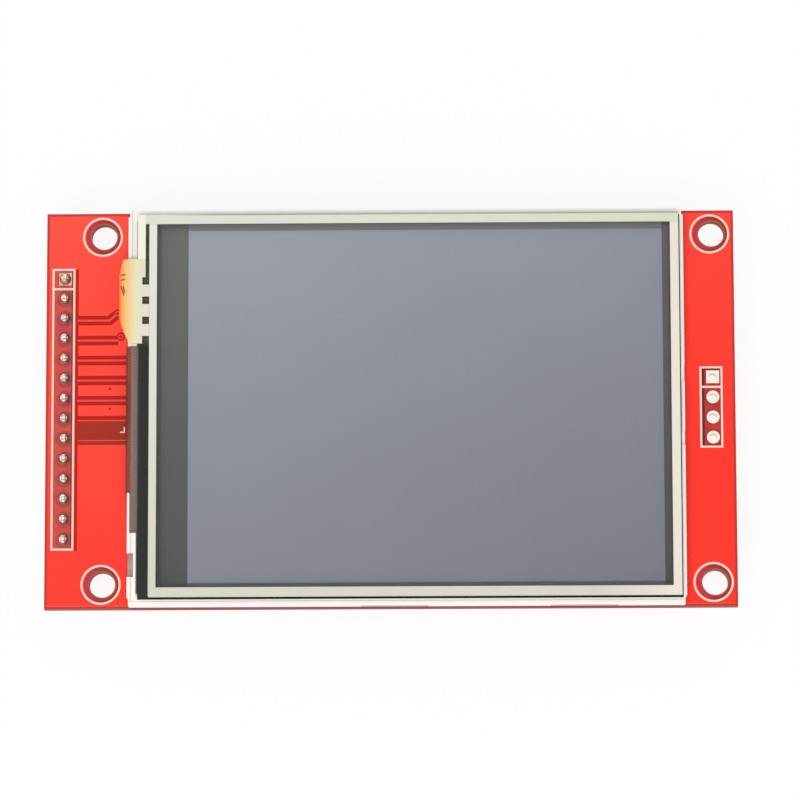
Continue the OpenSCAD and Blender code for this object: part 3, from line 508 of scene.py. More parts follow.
@dataclass(frozen=True)
class SolderJoint(Finish):
    """Solder that set with a slightly dull, rippled skin."""

    colour: Colour = srgb(222, 218, 208)
    flux_and_shade: Colour = srgb(150, 118, 84)

    def inputs(self, graph: Graph) -> Inputs:
        """Ripples catch flux; frost makes the skin dull.

        Args:
            graph: Node tree of the material.

        Returns:
            The shader's inputs.
        """
        ripple = graph.noise(0.35, 3.0)
        frost = graph.cells(0.09)
        return {
            "Base Color": graph.blend(ripple.over(0.66, 0.25) * 0.5, self.colour, self.flux_and_shade),
            "Metallic": 0.94,
            "Roughness": frost * 0.25 + ripple * 0.12 + 0.16,
            "Normal": graph.relief(ripple + frost * 0.3, 0.03),
        }


@dataclass(frozen=True)
class PinSolder(Finish):
    """Bright solder round a row of pins, with painted board reflection and painted shade round each
    pin.
    """

    first: Point
    colour: Colour = srgb(255, 245, 230)
    # painted reflection of the red board, with shade, on each foot
    dull: Colour = srgb(176, 98, 90)
    # colour of the painted crescent of shade beside each pin
    flux_and_shade: Colour = srgb(72, 42, 34)

    def inputs(self, graph: Graph) -> Inputs:
        """A bright cone; its foot is painted dull red as board reflection and shade, with painted
        shade to the pin's right.

        Args:
            graph: Node tree of the material.

        Returns:
            The shader's inputs.
        """
        here = graph.place()
        ripple = graph.noise(0.35, 3.0)
        frost = graph.cells(0.09)
        away = graph.disc(self.first, PIN_PITCH)
        # painted reflection and shade: the foot turns dull red
        foot = away.over(0.5, 0.3)
        beside = here.x - self.first[0] - here.y.cyclic(PIN_PITCH, self.first[1]) * 0.4
        # painted shade: a dark crescent on the right of each pin
        painted_shade_crescent = away.between(0.34, 0.62, 0.1).least((beside + ripple * 0.9).over(0.4, 0.2))
        return {
            "Base Color": graph.coats(self.colour, ((foot + ripple * 0.9 - 0.4) * 0.95, self.dull),
                                      (painted_shade_crescent * 0.8, self.flux_and_shade)),
            "Metallic": foot * -0.3 - painted_shade_crescent * 0.3 + 0.94,
            "Roughness": frost * 0.2 + ripple * 0.12 + 0.12,
            "Normal": graph.relief(ripple + frost * 0.3, 0.06),
        }


@dataclass(frozen=True)
class HeaderPad(Finish):
    """Tinned pads of the pin row, painted dull red-brown as shade and red board reflection, except
    for the square first one.
    """

    square_from: float
    ring: Colour = srgb(170, 98, 92)
    ring_dark: Colour = srgb(128, 66, 62)
    square: Colour = srgb(236, 196, 180)
    square_dark: Colour = srgb(188, 146, 128)

    def inputs(self, graph: Graph) -> Inputs:
        """The square pad lies beyond a level of Y.

        Args:
            graph: Node tree of the material.

        Returns:
            The shader's inputs.
        """
        cloud = graph.noise(0.5, 3.0)
        streaks = graph.noise(0.2, factors=Brush.ALONG_Y.value)
        # painted shade and red board reflection on the round pads
        ring = graph.blend(cloud.over(0.6, 0.3), self.ring, self.ring_dark)
        square = graph.blend(streaks.over(0.5, 0.3), self.square, self.square_dark)
        return {
            "Base Color": graph.blend(graph.place().y.over(self.square_from), ring, square),
            "Metallic": 0.8,
            "Roughness": streaks * 0.14 + cloud * 0.1 + 0.3,
            "Normal": graph.relief(streaks, 0.01),
        }


@dataclass(frozen=True)
class PinMetal(Finish):
    """Gilt pin whose end is wetted by bright solder above the board."""

    gilt: Colour = srgb(236, 206, 138)
    stain: Colour = srgb(206, 172, 104)
    wetted: Colour = srgb(252, 244, 230)
    board_top: float = 1.6

    def inputs(self, graph: Graph) -> Inputs:
        """Gilt below the board's front face and solder above it.

        Args:
            graph: Node tree of the material.

        Returns:
            The shader's inputs.
        """
        cloud = graph.noise(1.6, 3.0)
        speck = graph.noise(0.2)
        return {
            "Base Color": graph.coats(self.gilt, (cloud.over(0.62, 0.5), self.stain),
                                      (graph.place().z.over(self.board_top, 0.1), self.wetted)),
            "Metallic": cloud * -0.1 + 0.98,
            "Roughness": speck * 0.14 + 0.18,
            "Normal": graph.relief(speck, 0.01),
        }


@dataclass(frozen=True)
class PrintedInk(Finish):
    """Screen printed ink: a grainy, slightly uneven film of pale ink."""

    colour: Colour
    thin: Colour

    def inputs(self, graph: Graph) -> Inputs:
        """The ink is thin where its cover and the screen's weave are both high.

        Args:
            graph: Node tree of the material.

        Returns:
            The shader's inputs.
        """
        weave = graph.cells(0.07)
        cover = graph.noise(0.5, 3.0)
        thin = (cover * 0.7 + weave * 0.5).over(0.75, 0.5) * 0.6
        return {
            "Base Color": graph.blend(thin, self.colour, self.thin),
            "Roughness": cover * 0.15 + 0.47,
            "Normal": graph.relief(weave, 0.008),
        }


@dataclass(frozen=True)
class BorderInk(Finish):
    """Pale ink behind a film, whose tone drifts from side to side.

    The outer colour is that of the left side's outer strip, and the far edge shadow is a painted
    dark line on the rim beyond the ink on the far side.
    """

    plan: Plan
    first: Colour = srgb(229, 228, 219)
    lower: Colour = srgb(209, 209, 192)
    right: Colour = srgb(233, 226, 210)
    outer: Colour = srgb(240, 242, 222)
    top: Colour = srgb(219, 219, 208)
    top_far: Colour = srgb(216, 218, 188)
    far_edge_shadow: Colour = srgb(150, 150, 142)
    outer_width: float = 0.95
    top_width: float = 1.2

    def inputs(self, graph: Graph) -> Inputs:
        """Each side of the border is a coat over the one before.

        Args:
            graph: Node tree of the material.

        Returns:
            The shader's inputs.
        """
        here = graph.place()
        cloud = graph.noise(5.0) * 0.3 - 0.15
        across = self.plan.across(graph)
        (left, _), (_, far) = self.plan.low, self.plan.high
        beyond = here.y.over(far + 0.01, 0.01).least(across.over(0.1, 0.1))
        weave = graph.cells(0.07)
        return {
            "Base Color": graph.coats(
                self.first,
                (self.plan.down(graph) + cloud, self.lower),
                (across.over(0.93, 0.14) + cloud, self.right),
                (here.y.over(far - self.top_width, 0.1) * 0.9,
                 graph.blend(across.over(0.7, 0.5), self.top, self.top_far)),
                (here.x.under(left + self.outer_width, 0.1) * 0.9, self.outer),
                # painted shadow: a dark line beyond the far edge of the ink, fading in from the
                # left
                (beyond * 0.85, self.far_edge_shadow)),
            "Roughness": weave * 0.2 + 0.34,
            "Specular IOR Level": 0.3,
            "Normal": graph.relief(weave, 0.004),
        }


@dataclass(frozen=True)
class ClearPane(Finish):
    """Clear sheet that mirrors a little of the room, with faint haze and wiping marks."""

    haze: Colour
    roughness: float
    least: float
    mirror: float

    def inputs(self, graph: Graph) -> Inputs:
        """The pane covers what lies behind it more as it is seen at a slant.

        Args:
            graph: Node tree of the material.

        Returns:
            The shader's inputs.
        """
        weight = graph.node("ShaderNodeLayerWeight", None, {"Blend": 0.5})
        slant = Signal(graph, weight.outputs["Facing"])
        gloss = graph.maths("POWER", slant, 5.0) * 0.96 + 0.04
        cloud = graph.noise(9.0, 3.0)
        wipe = graph.noise(1.2, factors=(0.12, 1.0, 1.0))
        return {
            "Base Color": graph.blend(cloud, self.haze, dimmed(self.haze, 0.94)),
            "Metallic": 0.7,
            "Roughness": wipe * 0.08 + (self.roughness - 0.04),
            "Alpha": gloss * self.mirror + cloud * (self.least * 0.8) + self.least * 0.6,
        }


@dataclass(frozen=True)
class ScreenFilm(Finish):
    """Polarizer over the cells of the display, grey with a slow painted gradient of reflected
    light.
    """

    plan: Plan
    corner: Colour = srgb(156, 161, 168)
    middle: Colour = srgb(135, 139, 151)
    far: Colour = srgb(114, 115, 129)
    dot_pitch: float = 0.18

    def inputs(self, graph: Graph) -> Inputs:
        """A painted reflection gradient falls from the far left corner; the cells are fine dark
        lines.

        Args:
            graph: Node tree of the material.

        Returns:
            The shader's inputs.
        """
        here = graph.place()
        # painted reflection: lighter at the far left corner, darker towards the near right
        drift = self.plan.across(graph) * 0.34 + self.plan.down(graph) * 0.66
        cloud = graph.noise(14.0) - 0.5
        stops = [(0.0, self.corner), (0.45, self.middle), (1.0, self.far)]
        tone = graph.node("ShaderNodeValToRGB", {"stops": stops}, {0: drift + cloud * 0.16})
        columns = here.x.cyclic(self.dot_pitch, 0.0).under(0.02)
        rows = here.y.cyclic(self.dot_pitch, 0.0).under(0.03)
        return {
            "Base Color": graph.blend(columns.most(rows) * 0.12, tone.outputs[0],
                                      dimmed(self.middle, 0.7)),
            "Roughness": graph.noise(0.6) * 0.08 + 0.26,
            "IOR": 1.48,
            "Normal": graph.relief(graph.noise(0.05, 1.0), 0.0006),
        }


@dataclass(frozen=True)
class DarkGlass(Finish):
    """Glass with a dark mask or dark cells behind it, whose tone drifts to the near side."""

    plan: Plan
    colour: Colour
    low: Colour

    def tint(self, graph: Graph, down: Signal) -> Paint:
        """Colour behind the glass, where down is the share of the way to the near side."""
        return graph.blend(down, self.colour, self.low)

    def inputs(self, graph: Graph) -> Inputs:
        """A coat of gloss over the tint.

        Args:
            graph: Node tree of the material.

        Returns:
            The shader's inputs.
        """
        cloud = graph.noise(5.0)
        return {
            "Base Color": self.tint(graph, self.plan.down(graph) + (cloud - 0.5) * 0.25),
            "Roughness": cloud * 0.08 + 0.08,
            "Specular IOR Level": 0.25,
            "Coat Weight": 0.1,
            "Coat Roughness": 0.06,
        }


@dataclass(frozen=True)
class FilterGlass(DarkGlass):
    """Colour filter glass whose dark surround shows round the polarizer of the plan."""

    right: Colour
    right_low: Colour
    ends: Colour
    ends_low: Colour

    def tint(self, graph: Graph, down: Signal) -> Paint:
        """One pair of colours on the left, one on the right and one beyond the ends.

        Args:
            graph: Node tree of the material.
            down: Share of the way to the near side.

        Returns:
            The colour behind the glass.
        """
        here = graph.place()
        (left, _), (right, far) = self.plan.low, self.plan.high
        ends = abs(here.y).over(far - 0.02, 0.06).least(here.x.between(left, right, 0.1))
        return graph.coats(
            super().tint(graph, down),
            (here.x.over(right - 0.1), graph.blend(down, self.right, self.right_low)),
            (ends, graph.blend(down, self.ends, self.ends_low)))


@dataclass(frozen=True)
class OpticalFilm(Finish):
    """Milky film or guide of the backlight, with the fine grooves that bend its light."""

    colour: Colour
    groove: float
    brush: Brush = Brush.ALONG_X

    def inputs(self, graph: Graph) -> Inputs:
        """The grooves run along the brush direction.

        Args:
            graph: Node tree of the material.

        Returns:
            The shader's inputs.
        """
        here = graph.place()
        axis = here.y if self.brush is Brush.ALONG_X else here.x
        ridge = axis.cyclic(self.groove, 0.0) / self.groove
        cloud = graph.noise(8.0)
        return {
            "Base Color": graph.blend(cloud * 0.5 + ridge * 0.3, self.colour,
                                      dimmed(self.colour, 0.9)),
            "Roughness": cloud * 0.1 + 0.25,
            "Alpha": cloud * 0.05 + 0.9,
            "Normal": graph.relief(ridge, 0.02),
        }


@dataclass(frozen=True)
class BlackTape(Finish):
    """Black adhesive tape, or a dim line of painted shadow under glass, with a faint cloth texture.
    """

    colour: Colour = srgb(18, 17, 17)
    sheen: Colour = srgb(38, 36, 35)
    faded: Colour = srgb(90, 88, 74)
    faded_to: Optional[Point] = None

    def inputs(self, graph: Graph) -> Inputs:
        """The far left corner, up to faded_to, is patchy and paler if it is given.

        Args:
            graph: Node tree of the material.

        Returns:
            The shader's inputs.
        """
        cloud = graph.noise(2.4, 3.0)
        scuff = graph.noise(0.3, factors=(1.0, 0.2, 1.0))
        worn = cloud.over(0.6, 0.5) * 0.8 + scuff.over(0.68, 0.2) * 0.2
        colour = graph.blend(worn, self.colour, self.sheen)
        if self.faded_to is not None:
            here = graph.place()
            corner = here.x.under(self.faded_to[0]).least(here.y.over(self.faded_to[1]))
            patchy = graph.noise(0.3, 3.0) * 1.6 - 0.1
            colour = graph.blend(corner * patchy, colour, self.faded)
        return {
            "Base Color": colour,
            "Roughness": scuff * 0.2 + 0.2,
            "Specular IOR Level": 0.25,
            "Normal": graph.relief(cloud * 0.6 + scuff * 0.4, 0.01),
        }


@dataclass(frozen=True)
class FoamTape(Finish):
    """Thin double-sided foam tape: pale, matt and pitted with small cells."""

    colour: Colour = srgb(226, 224, 214)
    pit_shade: Colour = srgb(176, 172, 160)

    def inputs(self, graph: Graph) -> Inputs:
        """The middle of each cell is painted darker as shade in its hollow.

        Args:
            graph: Node tree of the material.

        Returns:
            The shader's inputs.
        """
        cells = graph.cells(0.14)
        return {
            # painted shade in the hollow of each cell
            "Base Color": graph.blend(cells.under(0.28, 0.3), self.colour, self.pit_shade),
            "Roughness": cells * 0.2 + 0.7,
            "Normal": graph.relief(cells, 0.05),
        }


@dataclass(frozen=True)
class ChipGlaze(Finish):
    """Ceramic body of a resistor or a capacitor, whose top has a tone of its own.

    The level is that of the top, which looks away from the board's rear face.
    """

    top: Colour
    side: Colour
    level: float
    roughness: float

    def inputs(self, graph: Graph) -> Inputs:
        """Dark specks lie over both tones.

        Args:
            graph: Node tree of the material.

        Returns:
            The shader's inputs.
        """
        speck = graph.noise(0.08, 3.0)
        return {
            "Base Color": graph.coats(self.side, (graph.place().z.under(self.level), self.top),
                                      (speck.over(0.62, 0.2) * 0.35, dimmed(self.top, 0.6))),
            "Roughness": speck * 0.2 + (self.roughness - 0.1),
            "Normal": graph.relief(speck, 0.01),
        }


@dataclass(frozen=True)
class MaskColours:
    """Colours of red solder mask over copper, over laminate, in the printed boxes and holes, and of
    the painted shadow under the frame.
    """

    copper: Colour = srgb(255, 46, 29)
    copper_warm: Colour = srgb(255, 80, 63)
    laminate: Colour = srgb(176, 40, 38)
    laminate_deep: Colour = srgb(150, 46, 38)
    row: Colour = srgb(192, 80, 72)
    row_violet: Colour = srgb(186, 46, 84)
    shadow: Colour = srgb(74, 22, 20)
    rose: Colour = srgb(196, 52, 72)
    ring_wine: Colour = srgb(146, 40, 52)
    ring_brown: Colour = srgb(118, 46, 34)
    painted_frame_shadow: Colour = srgb(112, 60, 70)
    core: Colour = srgb(176, 92, 62)


@dataclass(frozen=True)
class MaskedBoard(Finish):
    """Board with red solder mask on both faces and a bare cut edge.

    The copper under the mask stops short of the edges, of the mounting holes and of the pin
    rows, and the mask looks deeper there. The plans of header and card are the printed boxes
    round the two rows of pads; a ring is the dark radius round each pad, and a shade is the
    width of the dark strip along the sides of a box.
    """

    tones: MaskColours
    plan: Plan
    thickness: float
    holes: tuple[Point, ...]
    hole_radius: float
    hole_clear: float
    header: Plan
    header_first: Point
    card: Plan
    card_first: Point
    edge_clear: float = 0.32
    header_ring: float = 1.02
    card_ring: float = 1.08
    header_shade: float = 0.42
    card_shade: tuple[float, float, float, float] = (0.36, 0.3, 0.24, 0.36)
    frame_x: Point = (-34.8, 34.4)

    def _bare(self, graph: Graph) -> Signal:
        """Mask of the places without copper on either face.

        Args:
            graph: Node tree of the material.

        Returns:
            The mask as a signal.
        """
        here = graph.place()
        (left, _), (right, far) = self.plan.low, self.plan.high
        beyond = abs(here.x - (left + right) / 2) - (right - left) / 2
        bare = beyond.most(abs(here.y) - far).over(-self.edge_clear, 0.08)
        for hole in self.holes:
            bare = bare.most(graph.disc(hole).under(self.hole_clear, 0.06))
        return bare

    def _rings(self, graph: Graph, face: Paint, patchy: Signal) -> Paint:
        """Lays the darker tones round each mounting hole over the face, lighter rose on each hole's
        left side as painted light and shade.

        Args:
            graph: Node tree of the material.
            face: Colour of the face without the rings.
            patchy: Noise that breaks up the tones.

        Returns:
            Colour of the face with the rings.
        """
        tones = self.tones
        for hole in self.holes:
            away = graph.disc(hole)
            inside = away.under(self.hole_clear - 0.08, 0.16)
            # painted light and shade: the surround is lighter rose on the hole's left side
            left = ((graph.place().x - hole[0]) * -0.3 + patchy * 0.5).over(0.45, 0.4)
            face = graph.coats(
                face,
                (inside * 0.8, graph.blend(patchy, tones.ring_wine, tones.ring_brown)),
                (inside.least(left) * 0.6, tones.rose),
                (away.under(self.hole_radius + 0.16, 0.16) * 0.75, tones.core))
        return face

    def _edge(self, graph: Graph) -> Paint:
        """Colour of the cut edge, with a painted shadow where it runs under the frame on the near
        side.

        Args:
            graph: Node tree of the material.

        Returns:
            The colour.
        """
        here = graph.place()
        weave = graph.noise(0.22, factors=(1.0, 1.0, 3.0))
        # painted shadow on the near edge under the frame
        frame_shadow_mask = here.x.between(*self.frame_x, 0.6).least(here.y.under(0.0))
        return graph.coats(self.tones.core, (weave, dimmed(self.tones.core, 0.66)),
                           (frame_shadow_mask * 0.8, self.tones.painted_frame_shadow))

    def inputs(self, graph: Graph) -> Inputs:
        """Mask over copper first, then each place where it looks different.

        Args:
            graph: Node tree of the material.

        Returns:
            The shader's inputs.
        """
        here = graph.place()
        tones = self.tones
        fine = graph.noise(0.5, 3.0)
        drift = here.y * 0.014 - here.x * 0.0055 + 0.29
        warmth = drift + graph.noise(16.0) * 0.3 + fine * 0.1 - 0.2
        header = self.header.mask(graph, 0.06)
        card = self.card.mask(graph, 0.06)
        card_core = self.card.grown(*(-inset for inset in self.card_shade)).mask(graph, 0.14)
        rings = [box.least(graph.disc(first, PIN_PITCH).under(radius, 0.2)) for box, first, radius
                 in ((header, self.header_first, self.header_ring),
                     (card, self.card_first, self.card_ring))]
        rows = rings[0].most(rings[1])
        bare = self._bare(graph)
        patchy = graph.noise(1.4)
        face = graph.coats(
            tones.copper,
            (warmth, tones.copper_warm),
            (bare * 0.72, graph.blend(graph.noise(1.1), tones.laminate, tones.laminate_deep)),
            (header * 0.86, graph.blend(patchy.over(0.56, 0.2) * 0.6, tones.row, tones.row_violet)),
            (card * 0.86,
             graph.blend(patchy.over(0.5, 0.3) * 0.7, tones.laminate_deep, tones.rose)),
            (rows * 0.5, tones.laminate_deep),
            (header.least(here.x.over(self.header.high[0] - self.header_shade, 0.2)) * 0.85,
             tones.shadow),
            (card.least(1 - card_core) * 0.9, tones.shadow))
        side = here.z.over(0.01, 0.004).least(here.z.under(self.thickness - 0.01, 0.004))
        return {
            "Base Color": graph.blend(side, self._rings(graph, face, patchy), self._edge(graph)),
            "Roughness": side * 0.4 + fine * 0.08 + 0.22,
            "Specular IOR Level": 0.3,
            "Normal": graph.relief((1 - bare.most(rows)) * 0.6 + graph.noise(0.9) * 0.4, 0.02),
        }


@dataclass(frozen=True)
class MaskCoat(Finish):
    """Solder mask over a track, over the gap beside it or over a wide bare window."""

    colour: Colour
    patch_colour: Colour
    patch: float = 0.4
    roughness: float = 0.22

    def inputs(self, graph: Graph) -> Inputs:
        """Two tones in patches under a smooth skin.

        Args:
            graph: Node tree of the material.

        Returns:
            The shader's inputs.
        """
        fine = graph.noise(self.patch, 3.0)
        return {
            "Base Color": graph.blend(fine, self.colour, self.patch_colour),
            "Roughness": fine * 0.1 + self.roughness,
            "Specular IOR Level": 0.2,
            "Normal": graph.relief(graph.noise(0.9), 0.006),
        }


@dataclass(frozen=True)
class DisplayFlexFilm(Finish):
    """Brown flexible circuit whose upper leg has a painted mauve-grey sheen under the glass."""

    cover: Colour = srgb(140, 76, 52)
    copper: Colour = srgb(118, 56, 38)
    dark: Colour = srgb(84, 48, 32)
    upper: Colour = srgb(148, 104, 92)
    inner: Colour = srgb(124, 106, 98)
    upper_from: float = -34.42
    inner_from: float = -34.22
    upper_level: float = 3.2
    dark_y: Point = (-3.0, 3.2)
    trace_pitch: float = 0.4

    def inputs(self, graph: Graph) -> Inputs:
        """Traces run round the bend, and the upper leg has a painted sheen of its own.

        Args:
            graph: Node tree of the material.

        Returns:
            The shader's inputs.
        """
        here = graph.place()
        lines = here.y.cyclic(self.trace_pitch, 0.0).under(0.12, 0.04)
        cloud = graph.noise(1.5, 3.0)
        # painted reflection: the upper leg's mauve-grey sheen
        upper = here.x.over(self.upper_from, 0.3).least(here.z.over(self.upper_level, 0.2))
        streak = (graph.noise(1.0, factors=(1.0, 0.25, 1.0)) - 0.5) * 0.6
        sheen = graph.blend(here.x.over(self.inner_from, 0.3) + streak, self.upper, self.inner)
        return {
            "Base Color": graph.coats(self.cover, (lines * 0.6 + cloud * 0.3, self.copper),
                                      (here.y.between(*self.dark_y, 3.0) * 0.6, self.dark),
                                      (upper, sheen)),
            "Roughness": cloud * 0.14 + 0.2,
            "Specular IOR Level": 0.3,
            "Coat Weight": 0.1,
            "Coat Roughness": 0.12,
            "Normal": graph.relief(lines + cloud * 0.5, 0.012),
        }


@dataclass(frozen=True)
class TouchFlexFilm(Finish):
    """Amber flexible circuit that turns pale where it is bonded under the film."""

    amber: Colour = srgb(252, 184, 92)
    edge: Colour = srgb(246, 156, 62)
    pale: Colour = srgb(229, 224, 186)
    bonded: Colour = srgb(225, 219, 208)
    trace: Colour = srgb(130, 66, 18)
    edge_x: float = -35.45
    bend: float = -34.55
    bond: float = -33.1
    marks: tuple[tuple[Point, Point], ...] = (
        ((-35.75, 16.55), (-35.1, 16.5)), ((-35.7, 15.9), (-35.15, 15.95)),
        ((-35.72, 15.2), (-35.3, 13.9)), ((-35.4, 15.1), (-35.2, 14.2)))

    def _stroke(self, graph: Graph, start: Point, end: Point) -> Signal:
        """Mask of one short conductor between two points.

        Args:
            graph: Node tree of the material.
            start: Where the conductor begins.
            end: Where it ends.

        Returns:
            The mask as a signal.
        """
        here = graph.place()
        length = math.dist(start, end)
        along_x, along_y = (end[0] - start[0]) / length, (end[1] - start[1]) / length
        east, north = here.x - start[0], here.y - start[1]
        along = (east * along_x + north * along_y).between(0.0, length, 0.08)
        return along.least(abs(north * along_x - east * along_y).under(0.1, 0.06))

    def inputs(self, graph: Graph) -> Inputs:
        """Amber outside the bend, pale past it, with the conductors on top.

        Args:
            graph: Node tree of the material.

        Returns:
            The shader's inputs.
        """
        here = graph.place()
        cloud = graph.noise(1.8)
        strokes, *others = (self._stroke(graph, *mark) for mark in self.marks)
        for stroke in others:
            strokes = strokes.most(stroke)
        return {
            "Base Color": graph.coats(
                self.amber,
                (here.x.under(self.edge_x, 0.5) * 0.7 + cloud * 0.25, self.edge),
                (here.x.over(self.bend, 1.7), self.pale),
                (here.x.over(self.bond, 0.8), self.bonded),
                (strokes * 0.9, self.trace)),
            "Roughness": cloud * 0.12 + 0.24,
            "Coat Weight": 0.3,
            "Coat Roughness": 0.1,
            "Normal": graph.relief(cloud + strokes, 0.01),
        }


class Wardrobe:
    """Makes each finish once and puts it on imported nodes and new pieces."""

    def __init__(self) -> None:
        """Starts with no materials."""
        self._made: dict[str, bpy.types.Material] = {}

    def material(self, name: str, finish: Finish) -> bpy.types.Material:
        """The material of that name, built on its first use."""
        if name not in self._made:
            self._made[name] = finish.make(name)
        return self._made[name]

    def worn(self, name: str) -> bpy.types.Material:
        """A material that was made before."""
        return self._made[name]

    def wear(self, name: str, finish: Finish, *nodes: str) -> None:
        """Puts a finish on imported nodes.

        Args:
            name: Name of the material.
            finish: What the material looks like.
            nodes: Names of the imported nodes.
        """
        material = self.material(name, finish)
        for node in nodes:
            dressed = frame["nodes"][node]
            if not dressed.material_slots:
                dressed.data.materials.append(material)
            for slot in dressed.material_slots:
                slot.material = material
            LOG.info("%s wears %s", node, name)


# ------------------------------------------------------------------ making pieces


@dataclass(frozen=True)
class Track:
    """Copper track under the solder mask: its path and its width."""

    path: tuple[Point, ...]
    width: float = 0.4


class Piece:
    """A new piece, modelled in millimetres with bmesh operators."""

    SHARPEST_MITRE = 0.3
    CAP_SIDES = 20
    CAP_SHOULDER = 0.3
    CAP_HOLLOW = 0.25

    def __init__(self, name: str) -> None:
        """Starts an empty piece."""
        self.name = name
        self.mesh = bmesh.new()

    def strip(self, path: Sequence[Point], width: float, low: float, high: float) -> None:
        """Sweeps a flat strip along a path on one level and gives it thickness.

        Args:
            path: Points of the strip's middle line.
            width: Width of the strip.
            low: Level of its underside.
            high: Level of its top.
        """
        points = [Vector((x, y, low)) for x, y in path]
        turns = [(b - a).normalized() for a, b in zip(points, points[1:])]
        sides = []
        for i in range(len(points)):
            after = turns[min(i, len(turns) - 1)]
            middle = (turns[max(i - 1, 0)] + after).normalized()
            half = width / 2 / max(middle.dot(after), self.SHARPEST_MITRE)
            sides.append(Vector((-middle.y, middle.x, 0.0)) * half)
        left, right = (self.mesh.verts.new(points[0] + side) for side in (sides[0], -sides[0]))
        rung = self.mesh.edges.new((left, right))
        faces = []
        for point, side in zip(points[1:], sides[1:]):
            grown = bmesh.ops.extrude_edge_only(self.mesh, edges=[rung])["geom"]
            fresh = [g for g in grown if isinstance(g, bmesh.types.BMVert)]
            faces += [g for g in grown if isinstance(g, bmesh.types.BMFace)]
            on_left = any(edge.other_vert(fresh[0]) is left for edge in fresh[0].link_edges)
            left, right = fresh if on_left else reversed(fresh)
            left.co, right.co = point + side, point - side
            rung = self.mesh.edges.get((left, right))
        self._thicken(faces, high - low)

    def strips(self, tracks: Iterable[Track], low: float, high: float, beside: float = 0.0) -> None:
        """Sweeps a strip along each track, wider than the track by beside on either hand."""
        for track in tracks:
            self.strip(track.path, track.width + 2 * beside, low, high)

    def _thicken(self, faces: Sequence[bmesh.types.BMFace],
                 height: float) -> list[bmesh.types.BMFace]:
        """Raises a copy of flat faces by a height and walls it in.

        Args:
            faces: Flat faces on one level.
            height: How far the copy is raised.

        Returns:
            The raised faces.
        """
        lifted = bmesh.ops.extrude_face_region(self.mesh, geom=list(faces))["geom"]
        tops = [g for g in lifted if isinstance(g, bmesh.types.BMVert)]
        bmesh.ops.translate(self.mesh, vec=(0.0, 0.0, height), verts=tops)
        return [g for g in lifted if isinstance(g, bmesh.types.BMFace)]

    def caps(self, centres: Iterable[Point], radius: float, low: float, high: float,
             dimple: float = 0.0) -> None:
        """Adds a low round cap at each centre, with a dimple in its middle if one is given.

        Args:
            centres: Middles of the caps.
            radius: Radius of each cap.
            low: Level where the caps start.
            high: Level of their tops.
            dimple: Depth of the dimple.
        """
        for x, y in centres:
            made = bmesh.ops.create_circle(self.mesh, cap_ends=True, segments=self.CAP_SIDES,
                                           radius=radius, matrix=Matrix.Translation((x, y, low)))
            face = made["verts"][0].link_faces[0]
            tops = self._thicken([face], high - low)
            bmesh.ops.inset_region(self.mesh, faces=tops, thickness=radius * self.CAP_SHOULDER)
            if dimple:
                bmesh.ops.inset_region(self.mesh, faces=tops, thickness=radius * self.CAP_HOLLOW)
                bmesh.ops.translate(self.mesh, vec=(0.0, 0.0, -dimple),
                                    verts=[v for top in tops for v in top.verts])

    def ring(self, plan: Plan, width: float, level: float, thickness: float) -> None:
        """Adds a flat rectangular ring inside a plan, upwards from a level.

        Args:
            plan: Outer corners of the ring.
            width: Width of its band.
            level: Level of its underside.
            thickness: How thick it is.
        """
        low, high = Vector(plan.low), Vector(plan.high)
        spread = Matrix.Diagonal((*(high - low) / 2, 1.0, 1.0))
        made = bmesh.ops.create_grid(
            self.mesh, x_segments=1, y_segments=1, size=1.0,
            matrix=Matrix.Translation((*(low + high) / 2, level)) @ spread)
        face = made["verts"][0].link_faces[0]
        band = bmesh.ops.inset_region(self.mesh, faces=[face], thickness=width,
                                      use_boundary=True)["faces"]
        bmesh.ops.delete(self.mesh, geom=[face], context="FACES_ONLY")
        self._thicken(band, thickness)

    def cove(self, corner: Vector, outward: Vector, width: float, height: float,
             reach: float, steps: int = 4) -> None:
        """Adds a hollow fillet of solder against a wall on the rear face.

        Args:
            corner: Middle of the line where the wall meets the pad.
            outward: Direction away from the wall, along the board.
            width: Length of the fillet along the wall.
            height: How far it climbs the wall, away from the board.
            reach: How far it runs out over the pad.
            steps: Number of facets of its hollow face.
        """
        side = Vector((-outward.y, outward.x, 0.0)) * (width / 2)
        down = Vector((0.0, 0.0, -1.0))
        curve = []
        for i in range(steps + 1):
            turn = math.pi / 2 * i / steps
            curve.append(corner + outward * (reach * (1 - math.sin(turn)))
                         + down * (height * (1 - math.cos(turn))))
        end = self.mesh.faces.new([self.mesh.verts.new(p - side) for p in [corner, *curve]])
        swept = bmesh.ops.extrude_face_region(self.mesh, geom=[end])["geom"]
        bmesh.ops.translate(self.mesh, vec=side * 2,
                            verts=[g for g in swept if isinstance(g, bmesh.types.BMVert)])

    def finish(self, material: bpy.types.Material, slot: str, bevel: float = 0.0) -> None:
        """Closes the piece, puts it in metres and lets it ride on the module.

        Args:
            material: What it wears.
            slot: Material slot of the record that it belongs to; not used.
            bevel: Width of the rounding on its sharp edges, in millimetres.
        """
        if bevel:
            sharp = [e for e in self.mesh.edges if len(e.link_faces) == 2
                     and e.calc_face_angle(0.0) > SHARP_ANGLE]
            bmesh.ops.bevel(self.mesh, geom=sharp, offset=bevel, offset_type="OFFSET", segments=2,
                            profile=0.5, affect="EDGES", material=-1, clamp_overlap=True)
        bmesh.ops.recalc_face_normals(self.mesh, faces=self.mesh.faces)
        bmesh.ops.scale(self.mesh, vec=(MM, MM, MM), verts=self.mesh.verts)
        data = bpy.data.meshes.new(self.name)
        self.mesh.to_mesh(data)
        self.mesh.free()
        data.materials.append(material)
        made = bpy.data.objects.new(self.name, data)
        bpy.context.scene.collection.objects.link(made)
        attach(made, BODY)
        LOG.info("made %s with %d faces", self.name, len(data.polygons))


